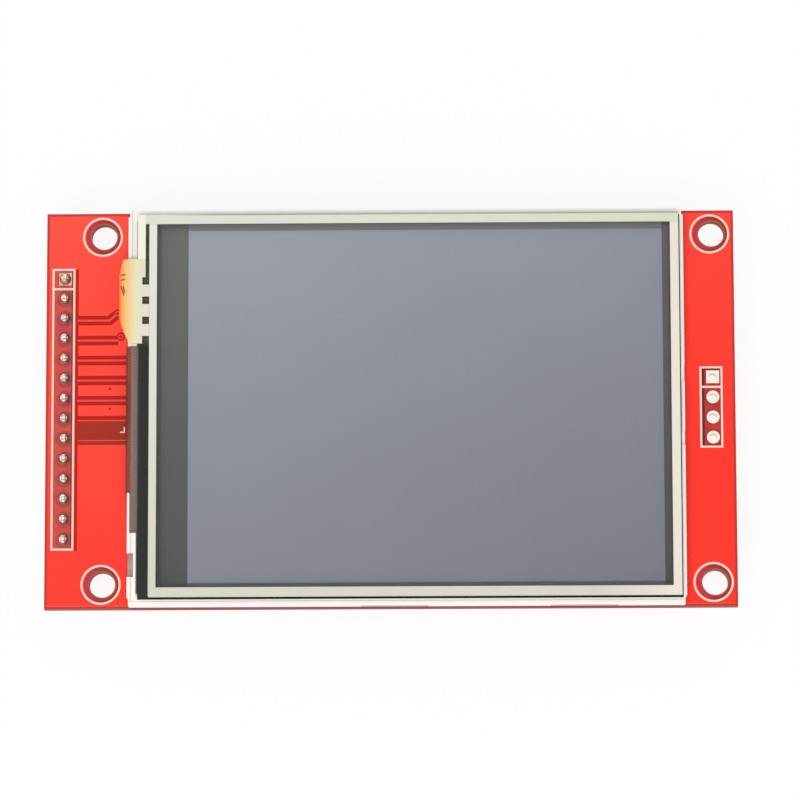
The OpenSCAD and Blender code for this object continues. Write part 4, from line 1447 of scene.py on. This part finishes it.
def first_pad(node: str) -> Point:
    """Middle of the highest pad of a row along Y whose pads are as long as they are wide."""
    low, high = corners(node)
    return (low.x + high.x) / 2, high.y - (high.x - low.x) / 2


def islands(node: str) -> list[Box]:
    """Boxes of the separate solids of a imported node, in millimetres.

    Args:
        node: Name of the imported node.

    Returns:
        Lowest and highest corner of each solid.
    """
    copy = bmesh.new()
    copy.from_mesh(frame["nodes"][node].data)
    bmesh.ops.remove_doubles(copy, verts=copy.verts, dist=SAME_PLACE_M)
    left = set(copy.verts)
    boxes = []
    for start in copy.verts:
        if start not in left:
            continue
        left.remove(start)
        found, todo = [start], [start]
        while todo:
            near = {vert for edge in todo.pop().link_edges for vert in edge.verts} & left
            left -= near
            todo += near
            found += near
        low, high = (Vector([pick(v.co[i] for v in found) for i in range(3)]) / MM
                     for pick in (min, max))
        boxes.append((low, high))
    copy.free()
    return boxes


# ------------------------------------------------------------------ sub-assemblies


@dataclass
class SubAssembly:
    """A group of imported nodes, with the finishes and the new pieces that go on it."""

    wardrobe: Wardrobe

    def dress(self) -> None:
        """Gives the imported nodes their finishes."""
        raise NotImplementedError

    def build(self) -> None:
        """Adds the new pieces, where the sub-assembly has any."""


@dataclass
class CircuitBoard(SubAssembly):
    """The red board with its print, its pads and the tracks that show through the mask.

    A rise is a height above the board's face, and a margin or gap is a width beside a thing.
    """

    hole_radius: float = 1.6
    hole_clear: float = 2.28
    box_margin_y: float = 0.45
    header_margin: float = 0.57
    card_margin: float = 0.6
    box_short: float = 0.12
    gap: float = 0.22
    front_gap: float = 0.48
    gap_rise: float = 0.006
    edge_gap_rise: float = 0.004
    frame_gap_rise: float = 0.003
    via_gap_rise: float = 0.008
    track_rise: float = 0.03
    via_rise: float = 0.04
    via_radius: float = 0.34
    via_dimple: float = 0.05
    window_rise: float = 0.003
    small_via_radius: float = 0.16
    small_via_rise: float = 0.012
    small_via_dimple: float = 0.01
    bevel: float = 0.01
    front_tracks: tuple[Track, ...] = (
        Track(((-41.3, 11.37), (-37.3, 11.37), (-36.5, 12.05)), 0.26),
        Track(((-41.3, 8.83), (-36.2, 8.83)), 0.26),
        Track(((-41.3, 6.29), (-34.6, 6.29)), 0.26),
        Track(((-41.3, 3.75), (-34.6, 3.75)), 0.24),
        Track(((-41.3, 1.2), (-34.6, 1.2)), 0.24),
    )
    wide_gap: Track = Track(((-41.3, -0.99), (-34.75, -0.99)), 0.5)
    edge_gap: Track = Track(((-41.36, -17.75), (-41.36, 17.9)), 0.34)
    frame_gap: Track = Track(((-34.85, 11.0), (-34.85, -11.0)), 0.2)
    window: Track = Track(((-41.2, -2.9), (-34.75, -2.9)), 3.0)
    window_track: Track = Track(((-41.2, -3.85), (-34.95, -3.85)), 0.14)
    front_vias: tuple[Point, ...] = ((-36.28, 12.24), (-35.89, 9.3))
    small_vias: tuple[Point, ...] = ((-37.22, 2.7), (-37.2, 0.16))
    rear_tracks: tuple[Track, ...] = (
        Track(((-41.4, -6.2), (-39.8, -6.2), (-39.0, -7.0), (-38.5, -7.0))),
        Track(((-41.4, -8.74), (-39.8, -8.74), (-39.04, -9.5), (-38.5, -9.5))),
        Track(((-41.4, -11.28), (-39.8, -11.28), (-39.08, -12.0), (-38.5, -12.0))),
        Track(((-41.4, -13.82), (-39.8, -13.82), (-39.12, -14.5), (-38.5, -14.5))),
        Track(((-36.7, -7.0), (-29.98, -7.0), (-25.6, -11.375), (-24.3, -11.375)), 0.25),
        Track(((-36.7, -9.5), (-28.43, -9.5), (-25.9, -12.025), (-24.3, -12.025)), 0.25),
        Track(((-36.7, -12.0), (-26.9, -12.0), (-26.22, -12.675), (-24.3, -12.675)), 0.25),
        Track(((-36.7, -14.5), (-27.5, -14.5), (-26.32, -13.325), (-24.3, -13.325)), 0.25),
        Track(((-41.4, -16.36), (-28.0, -16.36), (-25.62, -13.975), (-24.3, -13.975)), 0.25),
        Track(((-41.4, -1.12), (-35.6, -1.12), (-33.9, 0.58), (-33.9, 3.9))),
        Track(((-36.7, -4.5), (-33.0, -4.5), (-31.0, -2.5), (-31.0, 1.0), (-28.5, 3.1))),
        Track(((-41.4, 16.66), (-39.5, 16.66), (-38.4, 16.9)), 0.9),
        Track(((-36.6, 16.4), (-34.6, 16.0)), 0.7),
        Track(((-31.2, 17.8), (-28.9, 17.2)), 0.7),
        Track(((-17.7, -11.375), (-16.4, -11.375), (-15.4, -11.7)), 0.25),
        Track(((-17.7, -14.625), (-12.0, -14.625), (-4.6, -7.2), (-4.6, 1.6)), 0.25),
        Track(((37.0, -3.81), (32.0, -3.81), (29.6, -6.2), (17.6, -6.2), (16.5, -5.1),
               (16.5, -4.6))),
        Track(((37.0, -1.27), (32.4, -1.27), (28.56, -5.1), (20.1, -5.1), (19.4, -4.6))),
        Track(((37.0, 1.27), (35.4, 1.27), (34.2, 2.47), (34.2, 5.7), (33.6, 6.3))),
        Track(((37.0, 3.81), (36.0, 3.81), (35.0, 4.81), (35.0, 8.3), (33.6, 8.9))),
        Track(((31.7, 9.0), (30.5, 9.0))),
        Track(((31.7, 6.5), (30.5, 6.5))),
        Track(((4.0, -4.6), (4.0, -8.6), (-2.0, -14.6), (-17.7, -15.275)), 0.25),
    )
    rear_vias: tuple[Point, ...] = (
        (30.2, 9.0), (30.2, 6.5), (-31.0, 1.0), (-12.0, -14.6), (-4.6, -7.2), (35.0, 4.81),
        (-20.0, 4.0), (-18.0, 9.0), (-22.5, 14.0), (-10.0, 12.0), (-12.0, -4.0), (-8.0, -18.0),
        (6.0, -12.0), (12.0, -16.5), (22.0, -14.0), (30.0, -17.0), (-38.0, 9.5), (-24.0, -19.5),
    )

    def _box(self, node: str, margin: float) -> Plan:
        """Printed box round a row of pads, which stops a little short on the right."""
        beside = self.box_margin_y
        return Plan.of(node).grown(margin, beside, margin - self.box_short, beside)

    def dress(self) -> None:
        """Gives the board, its print and its pads their finishes."""
        mounts = {mount["name"]: mount for mount in frame["record"]["mounts"]}
        spacing = mounts["mounting_holes"]["dims"]
        reach = spacing["spacing_x_mm"] / 2, spacing["spacing_y_mm"] / 2
        holes = tuple((side * reach[0], end * reach[1]) for side in (-1, 1) for end in (-1, 1))
        wear = self.wardrobe.wear
        wear("masked_board", MaskedBoard(
            MaskColours(), Plan.of("board"), corners("board")[1].z, holes, self.hole_radius,
            self.hole_clear, self._box("header_pads", self.header_margin), first_pad("header_pads"),
            self._box("card_row_pads", self.card_margin), first_pad("card_row_pads")), "board")
        wear("board_print", PrintedInk(srgb(254, 218, 200), srgb(246, 176, 158)),
             "print_front", "print_rear")
        wear("tinned_pad", PlatedMetal(srgb(226, 222, 212), srgb(186, 180, 168), metallic=0.95),
             "rear_pads", "flex_joints")

    def build(self) -> None:
        """Adds the tracks, the gaps beside them and the covered vias."""
        dress = self.wardrobe.material
        track = dress("mask_over_track", MaskCoat(srgb(250, 80, 70), srgb(238, 68, 58)))
        gap = dress("mask_over_gap", MaskCoat(srgb(192, 18, 10), srgb(170, 26, 14)))
        bare = dress("mask_over_window", MaskCoat(srgb(154, 46, 24), srgb(174, 40, 26), 2.2, 0.26))
        face = corners("board")[1].z
        gaps = Piece("front_gaps")
        gaps.strips(self.front_tracks, face, face + self.gap_rise, self.front_gap)
        for strip, rise in ((self.wide_gap, self.gap_rise), (self.edge_gap, self.edge_gap_rise),
                            (self.frame_gap, self.frame_gap_rise)):
            gaps.strips([strip], face, face + rise)
        gaps.caps(self.front_vias, self.via_radius + self.gap, face, face + self.via_gap_rise)
        gaps.finish(gap, "mask_red")
        tracks = Piece("front_tracks")
        tracks.strips([*self.front_tracks, self.window_track], face, face + self.track_rise)
        tracks.caps(self.front_vias, self.via_radius, face, face + self.via_rise, self.via_dimple)
        tracks.finish(track, "mask_red", self.bevel)
        window = Piece("front_window")
        window.strips([self.window], face, face + self.window_rise)
        window.caps(self.small_vias, self.small_via_radius, face, face + self.small_via_rise,
                    self.small_via_dimple)
        window.finish(bare, "mask_red")
        gaps = Piece("rear_gaps")
        gaps.strips(self.rear_tracks, -self.gap_rise, 0.0, self.gap)
        gaps.finish(gap, "mask_red")
        tracks = Piece("rear_tracks")
        tracks.strips(self.rear_tracks, -self.track_rise, 0.0)
        tracks.caps(self.rear_vias, self.via_radius, 0.0, -self.via_rise, -self.via_dimple)
        tracks.finish(track, "mask_red", self.bevel)


@dataclass
class PinHeader(SubAssembly):
    """Pin header on the rear face and its solder joints on the front face.

    The square pad begins its reach short of its middle.
    """

    square_reach: float = 1.1

    def dress(self) -> None:
        """Gives the header's parts their finishes."""
        first = first_pad("header_pads")
        wear = self.wardrobe.wear
        wear("header_plastic", MouldedPlastic(srgb(30, 30, 31), srgb(22, 22, 23)), "header_body")
        wear("pin_gold", PinMetal(), "header_pins")
        wear("header_ring", HeaderPad(first[1] - self.square_reach), "header_pads")
        wear("pin_solder", PinSolder(first), "header_solder")


@dataclass
class CardRow(SubAssembly):
    """Row of open plated holes at the right end."""

    def dress(self) -> None:
        """Gives the row's pads their finish."""
        self.wardrobe.wear("levelled_tin", PlatedMetal(srgb(250, 240, 226), srgb(236, 216, 196),
                                                       0.38, metallic=0.6), "card_row_pads")


@dataclass
class DisplayStack(SubAssembly):
    """Framed display: frame, tray, light unit, glasses, polarizers and driver chip.

    The tongue's place is given from the frame's left side and from the tray's underside. The
    bend of the diodes' strip lies beyond its end, so that it is pale all over.
    """

    tongue_x: float = 0.52
    tongue_y: Point = (-21.3, -18.5)
    tongue_z: Point = (1.6, 1.75)
    tongue_width: float = 0.92
    tongue_bevel: float = 0.04
    faded_to: Point = (-30.9, 7.5)
    led_trace: tuple[Point, Point] = ((-31.0, -15.0), (-31.0, 15.0))
    led_bend: float = -60.0

    def dress(self) -> None:
        """Gives the display's parts their finishes."""
        wear = self.wardrobe.wear
        screen = Plan.of("front_polarizer")
        prism = srgb(214, 219, 224)
        wear("frame_white", FramePlastic(srgb(252, 248, 243), srgb(242, 236, 230),
                                         srgb(188, 182, 176), Plan.of("display_frame")),
             "display_frame")
        wear("tray_steel", PlatedMetal(srgb(206, 207, 210), srgb(180, 180, 184), 0.34,
                                       Brush.ALONG_X, 0.12), "back_tray")
        wear("foam_tape", FoamTape(), "adhesive_pad")
        wear("reflector_film", OpticalFilm(srgb(238, 240, 242), 0.9), "reflector")
        wear("light_guide", OpticalFilm(srgb(222, 230, 234), 0.6, Brush.ALONG_Y), "light_guide")
        wear("led_strip", TouchFlexFilm(bend=self.led_bend, marks=(self.led_trace,)), "led_strip")
        wear("led_lens", MouldedPlastic(srgb(240, 226, 150), srgb(226, 208, 120), 0.3), "leds")
        wear("diffuser_film", OpticalFilm(srgb(236, 237, 238), 1.4), "diffuser")
        wear("prism_film_across", OpticalFilm(prism, 0.1), "prism_film_lower")
        wear("prism_film_along", OpticalFilm(prism, 0.1, Brush.ALONG_Y), "prism_film_upper")
        wear("black_tape", BlackTape(), "shield_tape")
        wear("ring_tape", BlackTape(faded_to=self.faded_to), "ring_tape")
        wear("screen_film", ScreenFilm(screen), "front_polarizer", "rear_polarizer")
        wear("masked_glass", FilterGlass(
            screen, srgb(103, 104, 100), srgb(73, 75, 71), srgb(100, 92, 97), srgb(74, 76, 70),
            srgb(124, 126, 131), srgb(102, 103, 114)), "filter_glass", "ledge_tape")
        wear("panel_glass", DarkGlass(screen, srgb(112, 122, 122), srgb(92, 100, 102)),
             "transistor_glass")
        wear("driver_silicon", DarkGlass(screen, srgb(44, 44, 50), srgb(32, 32, 38)),
             "driver_chip")

    def build(self) -> None:
        """Adds the tray's tongue that shows in the notch of the frame's left side, coloured dim
        mauve-brown as painted shade.
        """
        x = corners("display_frame")[0].x + self.tongue_x
        base = corners("back_tray")[0].z
        tongue = Piece("notch_shade_tongue")
        tongue.strip([(x, y) for y in self.tongue_y], self.tongue_width,
                     *(base + z for z in self.tongue_z))
        # painted shade: the dim mauve-brown stands in for the shade inside the notch
        steel = PlatedMetal(srgb(168, 146, 138), srgb(128, 104, 88), 0.4, Brush.ALONG_Y, 0.12, 0.7)
        tongue.finish(self.wardrobe.material("notch_shade_steel", steel), "tray_steel",
                      self.tongue_bevel)


@dataclass
class TouchPanel(SubAssembly):
    """Resistive touch panel with a pale border under its film.

    The insets are from the border's right and far sides, and from the film's for the rim.
    """

    window_inset: Point = (0.93, 1.08)
    window_length: float = 63.9
    line_width: float = 0.13
    line_depth: float = 0.03
    rim_inset: float = 0.08
    rim_past: float = 0.9
    rim_clear: float = 0.005

    def dress(self) -> None:
        """Gives the panel's layers their finishes."""
        wear = self.wardrobe.wear
        wear("touch_glass", ClearPane(srgb(196, 210, 206), 0.08, 0.002, 0.12), "touch_glass")
        wear("touch_film", ClearPane(srgb(206, 208, 214), 0.2, 0.003, 0.2), "touch_film")
        wear("touch_adhesive", ClearPane(srgb(214, 214, 204), 0.4, 0.01, 0.1), "touch_spacer")
        wear("border_ink", BorderInk(Plan.of("touch_border")), "touch_border")

    def build(self) -> None:
        """Adds a dim line as painted shadow along the window's edge, and the border's outer rim."""
        low, high = corners("touch_border")
        film_low, film_high = corners("touch_film")
        right, half = high.x - self.window_inset[0], high.y - self.window_inset[1]
        left = right - self.window_length
        line = Piece("window_edge_shadow")
        line.ring(Plan((left, -half), (right, half)), self.line_width,
                  film_low.z - self.line_depth, self.line_depth)
        # painted shadow: the line's dim colour stands in for the shade under the border's inner
        # edge
        ink = BlackTape(srgb(86, 80, 72), srgb(100, 94, 86))
        line.finish(self.wardrobe.material("window_edge_shadow", ink), "border_ink")
        out, far = film_high.x - self.rim_inset, film_high.y - self.rim_inset
        rim = Piece("border_rim")
        rim.strip(((left - self.rim_past, -far), (out, -far), (out, far), (low.x, far)),
                  self.line_width, low.z + self.rim_clear, high.z - self.rim_clear)
        rim.finish(self.wardrobe.worn("border_ink"), "border_ink")


@dataclass
class FlexCircuits(SubAssembly):
    """The two flexible circuits that fold round the left side of the frame."""

    def dress(self) -> None:
        """Gives the flexible circuits their finishes."""
        self.wardrobe.wear("display_flex", DisplayFlexFilm(), "display_flex")
        self.wardrobe.wear("touch_flex", TouchFlexFilm(), "touch_flex")


@dataclass
class CardSocket(SubAssembly):
    """Memory card socket on the rear face."""

    def dress(self) -> None:
        """Gives the socket's parts their finishes."""
        wear = self.wardrobe.wear
        wear("socket_plastic", MouldedPlastic(srgb(34, 34, 36), srgb(25, 25, 27), 0.55),
             "socket_base")
        wear("shell_steel", PlatedMetal(srgb(214, 214, 212), srgb(204, 203, 201), 0.3,
                                        Brush.ALONG_Y, 0.1), "socket_shell")
        wear("contact_gold", PlatedMetal(srgb(240, 208, 132), srgb(216, 180, 106), 0.24),
             "socket_contacts")


@dataclass
class SmallParts(SubAssembly):
    """Surface mounted parts on the rear face and the solder at their ends.

    The solder runs out over the pad by its reach. It climbs a share of each end cap's height,
    and the same distance up every lead foot.
    """

    reach: float = 0.32
    cap_share: float = 0.62
    foot_climb: float = 0.13
    capped: tuple[str, ...] = ("resistor", "capacitor")
    leaded: tuple[str, ...] = ("controller", "regulator", "transistor")

    def dress(self) -> None:
        """Gives the small parts their finishes."""
        wear = self.wardrobe.wear
        wear("chip_epoxy", MouldedPlastic(srgb(38, 38, 40), srgb(30, 30, 32), 0.62, 0.07, 0.006),
             *(f"{part}_body" for part in self.leaded))
        wear("lead_tin", PlatedMetal(srgb(216, 214, 208), srgb(184, 180, 172), 0.32),
             *(f"{part}_leads" for part in self.leaded), *(f"{part}_ends" for part in self.capped))
        wear("resistor_glaze", ChipGlaze(srgb(28, 28, 32), srgb(226, 224, 218), -0.42, 0.24),
             "resistor_bodies")
        wear("capacitor_ceramic", ChipGlaze(srgb(168, 138, 104), srgb(158, 128, 94), -0.2, 0.4),
             "capacitor_bodies")

    def build(self) -> None:
        """Adds a solder fillet at the outer side of each end cap and lead foot."""
        fillets = Piece("rear_fillets")
        for part in self.capped:
            middles = [(low + high) / 2 for low, high in islands(f"{part}_bodies")]
            for low, high in islands(f"{part}_ends"):
                centre = (low + high) / 2
                nearest = min(middles, key=lambda middle: (middle - centre).to_2d().length)
                climb = (high.z - low.z) * self.cap_share
                self._fillet(fillets, (low, high), centre - nearest, climb)
        for part in self.leaded:
            low, high = corners(f"{part}_body")
            for box in islands(f"{part}_leads"):
                away = (box[0] + box[1]) / 2 - (low + high) / 2
                share = Vector((away.x / (high.x - low.x), away.y / (high.y - low.y), 0))
                self._fillet(fillets, box, share, self.foot_climb)
        fillets.finish(self.wardrobe.material("solder", SolderJoint()), "solder")

    def _fillet(self, piece: Piece, box: Box, away: Vector, climb: float) -> None:
        """Adds one fillet outside a box.

        Args:
            piece: Piece that takes the fillet.
            box: Lowest and highest corner of the end cap or lead.
            away: Direction from the part's middle to the box.
            climb: How far the solder climbs.
        """
        low, high = box
        corner = (low + high) / 2
        axis = 0 if abs(away.x) > abs(away.y) else 1
        outward = Vector((0.0, 0.0, 0.0))
        outward[axis] = math.copysign(1.0, away[axis])
        corner += outward * ((high[axis] - low[axis]) / 2)
        corner.z = high.z
        piece.cove(corner, outward, high[1 - axis] - low[1 - axis], climb, self.reach)


# ------------------------------------------------------------------ studio


@dataclass
class Studio:
    """Plain pale floor, soft light and the camera."""

    floor_size_m: float = 4.0
    floor_gap_m: float = 0.00005
    floor_pale: Colour = (0.985, 0.985, 0.985)
    floor_shade: Colour = (0.965, 0.965, 0.965)
    floor_glow: float = 0.87
    room_light: float = 0.79
    lamp_place_m: Triple = (-0.1, -0.44, 1.05)
    lamp_size_m: float = 0.6
    lamp_share: float = 0.47
    lens: float = 240.0
    camera_place_m: Triple = (0.00871, -0.11328, 0.65664)
    camera_turn: Triple = (9.9003, 0.8745, -0.1504)
    camera_clip_m: Point = (0.05, 20.0)

    def build(self) -> None:
        """Makes the whole studio."""
        self._floor()
        self._room()
        self._lamp()
        self._camera()

    @staticmethod
    def _add(name: str, data: bpy.types.ID) -> bpy.types.Object:
        """Puts a new object of the data in the scene.

        Args:
            name: Name of the object.
            data: Mesh, light or camera that it holds.

        Returns:
            The new object.
        """
        made = bpy.data.objects.new(name, data)
        bpy.context.scene.collection.objects.link(made)
        return made

    def _floor(self) -> None:
        """Pale floor just under the lowest point of the module."""
        data = bpy.data.meshes.new("floor")
        grid = bmesh.new()
        place = Matrix.Translation((0, 0, CAD_BOX[0].z - self.floor_gap_m))
        bmesh.ops.create_grid(grid, x_segments=1, y_segments=1, size=self.floor_size_m / 2,
                              matrix=place)
        grid.to_mesh(data)
        grid.free()
        graph = Graph("pale_floor")
        base = graph.blend(graph.noise(3.0), self.floor_pale, self.floor_shade)
        cloth = graph.node("ShaderNodeBsdfDiffuse", None, {"Color": base})
        glow = graph.node("ShaderNodeEmission", None, {"Color": (1.0, 1.0, 1.0), "Strength": 1.0})
        seen = self._looked_at(graph) * self.floor_glow
        mix = graph.node("ShaderNodeMixShader", None,
                         {0: seen, 1: cloth.outputs[0], 2: glow.outputs[0]})
        graph.node("ShaderNodeOutputMaterial", None, {0: mix.outputs[0]})
        data.materials.append(graph.material)
        floor = self._add("floor", data)

    @staticmethod
    def _looked_at(graph: Graph) -> Signal:
        """Mask that is 1 for what the camera, a mirror or a clear pane looks at.

        Args:
            graph: Node tree of the material or the world.

        Returns:
            The mask as a signal.
        """
        path = graph.node("ShaderNodeLightPath")
        camera, mirror, pane = (Signal(graph, path.outputs[f"Is {kind} Ray"])
                                for kind in ("Camera", "Glossy", "Transmission"))
        return camera.most(mirror).most(pane)

    def _room(self) -> None:
        """Even light from all round, white where the camera or a mirror looks."""
        world = bpy.data.worlds.new("room")
        graph = Graph("room", world)
        strength = self._looked_at(graph) * (1.0 - self.room_light) + self.room_light
        light = graph.node("ShaderNodeBackground", None, {"Strength": strength})
        graph.node("ShaderNodeOutputWorld", None, {0: light.outputs[0]})
        bpy.context.scene.world = world

    def _lamp(self) -> None:
        """One large soft lamp above, to the lower left, that gives its share of the light."""
        place = Vector(self.lamp_place_m)
        data = bpy.data.lights.new("soft_lamp", "AREA")
        data.shape = "SQUARE"
        data.size = self.lamp_size_m
        data.energy = self.lamp_share * math.pi ** 2 * place.length ** 3 / place.z
        lamp = self._add("soft_lamp", data)
        lamp.location = place
        lamp.rotation_euler = (-place).to_track_quat("-Z", "Y").to_euler()

    def _camera(self) -> None:
        """Camera nearly straight above the module."""
        data = bpy.data.cameras.new("camera")
        data.lens = self.lens
        data.clip_start, data.clip_end = self.camera_clip_m
        camera = self._add("camera", data)
        turn = Euler([math.radians(angle) for angle in self.camera_turn])
        camera.matrix_world = Matrix.LocRotScale(Vector(self.camera_place_m), turn, None)
        scene = bpy.context.scene
        scene.camera = camera
        scene.view_settings.view_transform = "Standard"


def main() -> None:
    """Builds and dresses the sub-assemblies in order."""
    logging.basicConfig(level=logging.INFO, format="%(message)s")
    Studio().build()
    wardrobe = Wardrobe()
    for kind in (CircuitBoard, PinHeader, CardRow, DisplayStack, TouchPanel, FlexCircuits,
                 CardSocket, SmallParts):
        assembly = kind(wardrobe)
        assembly.dress()
        assembly.build()
        LOG.info("%s done", kind.__name__)


if __name__ == "__main__":
    main()
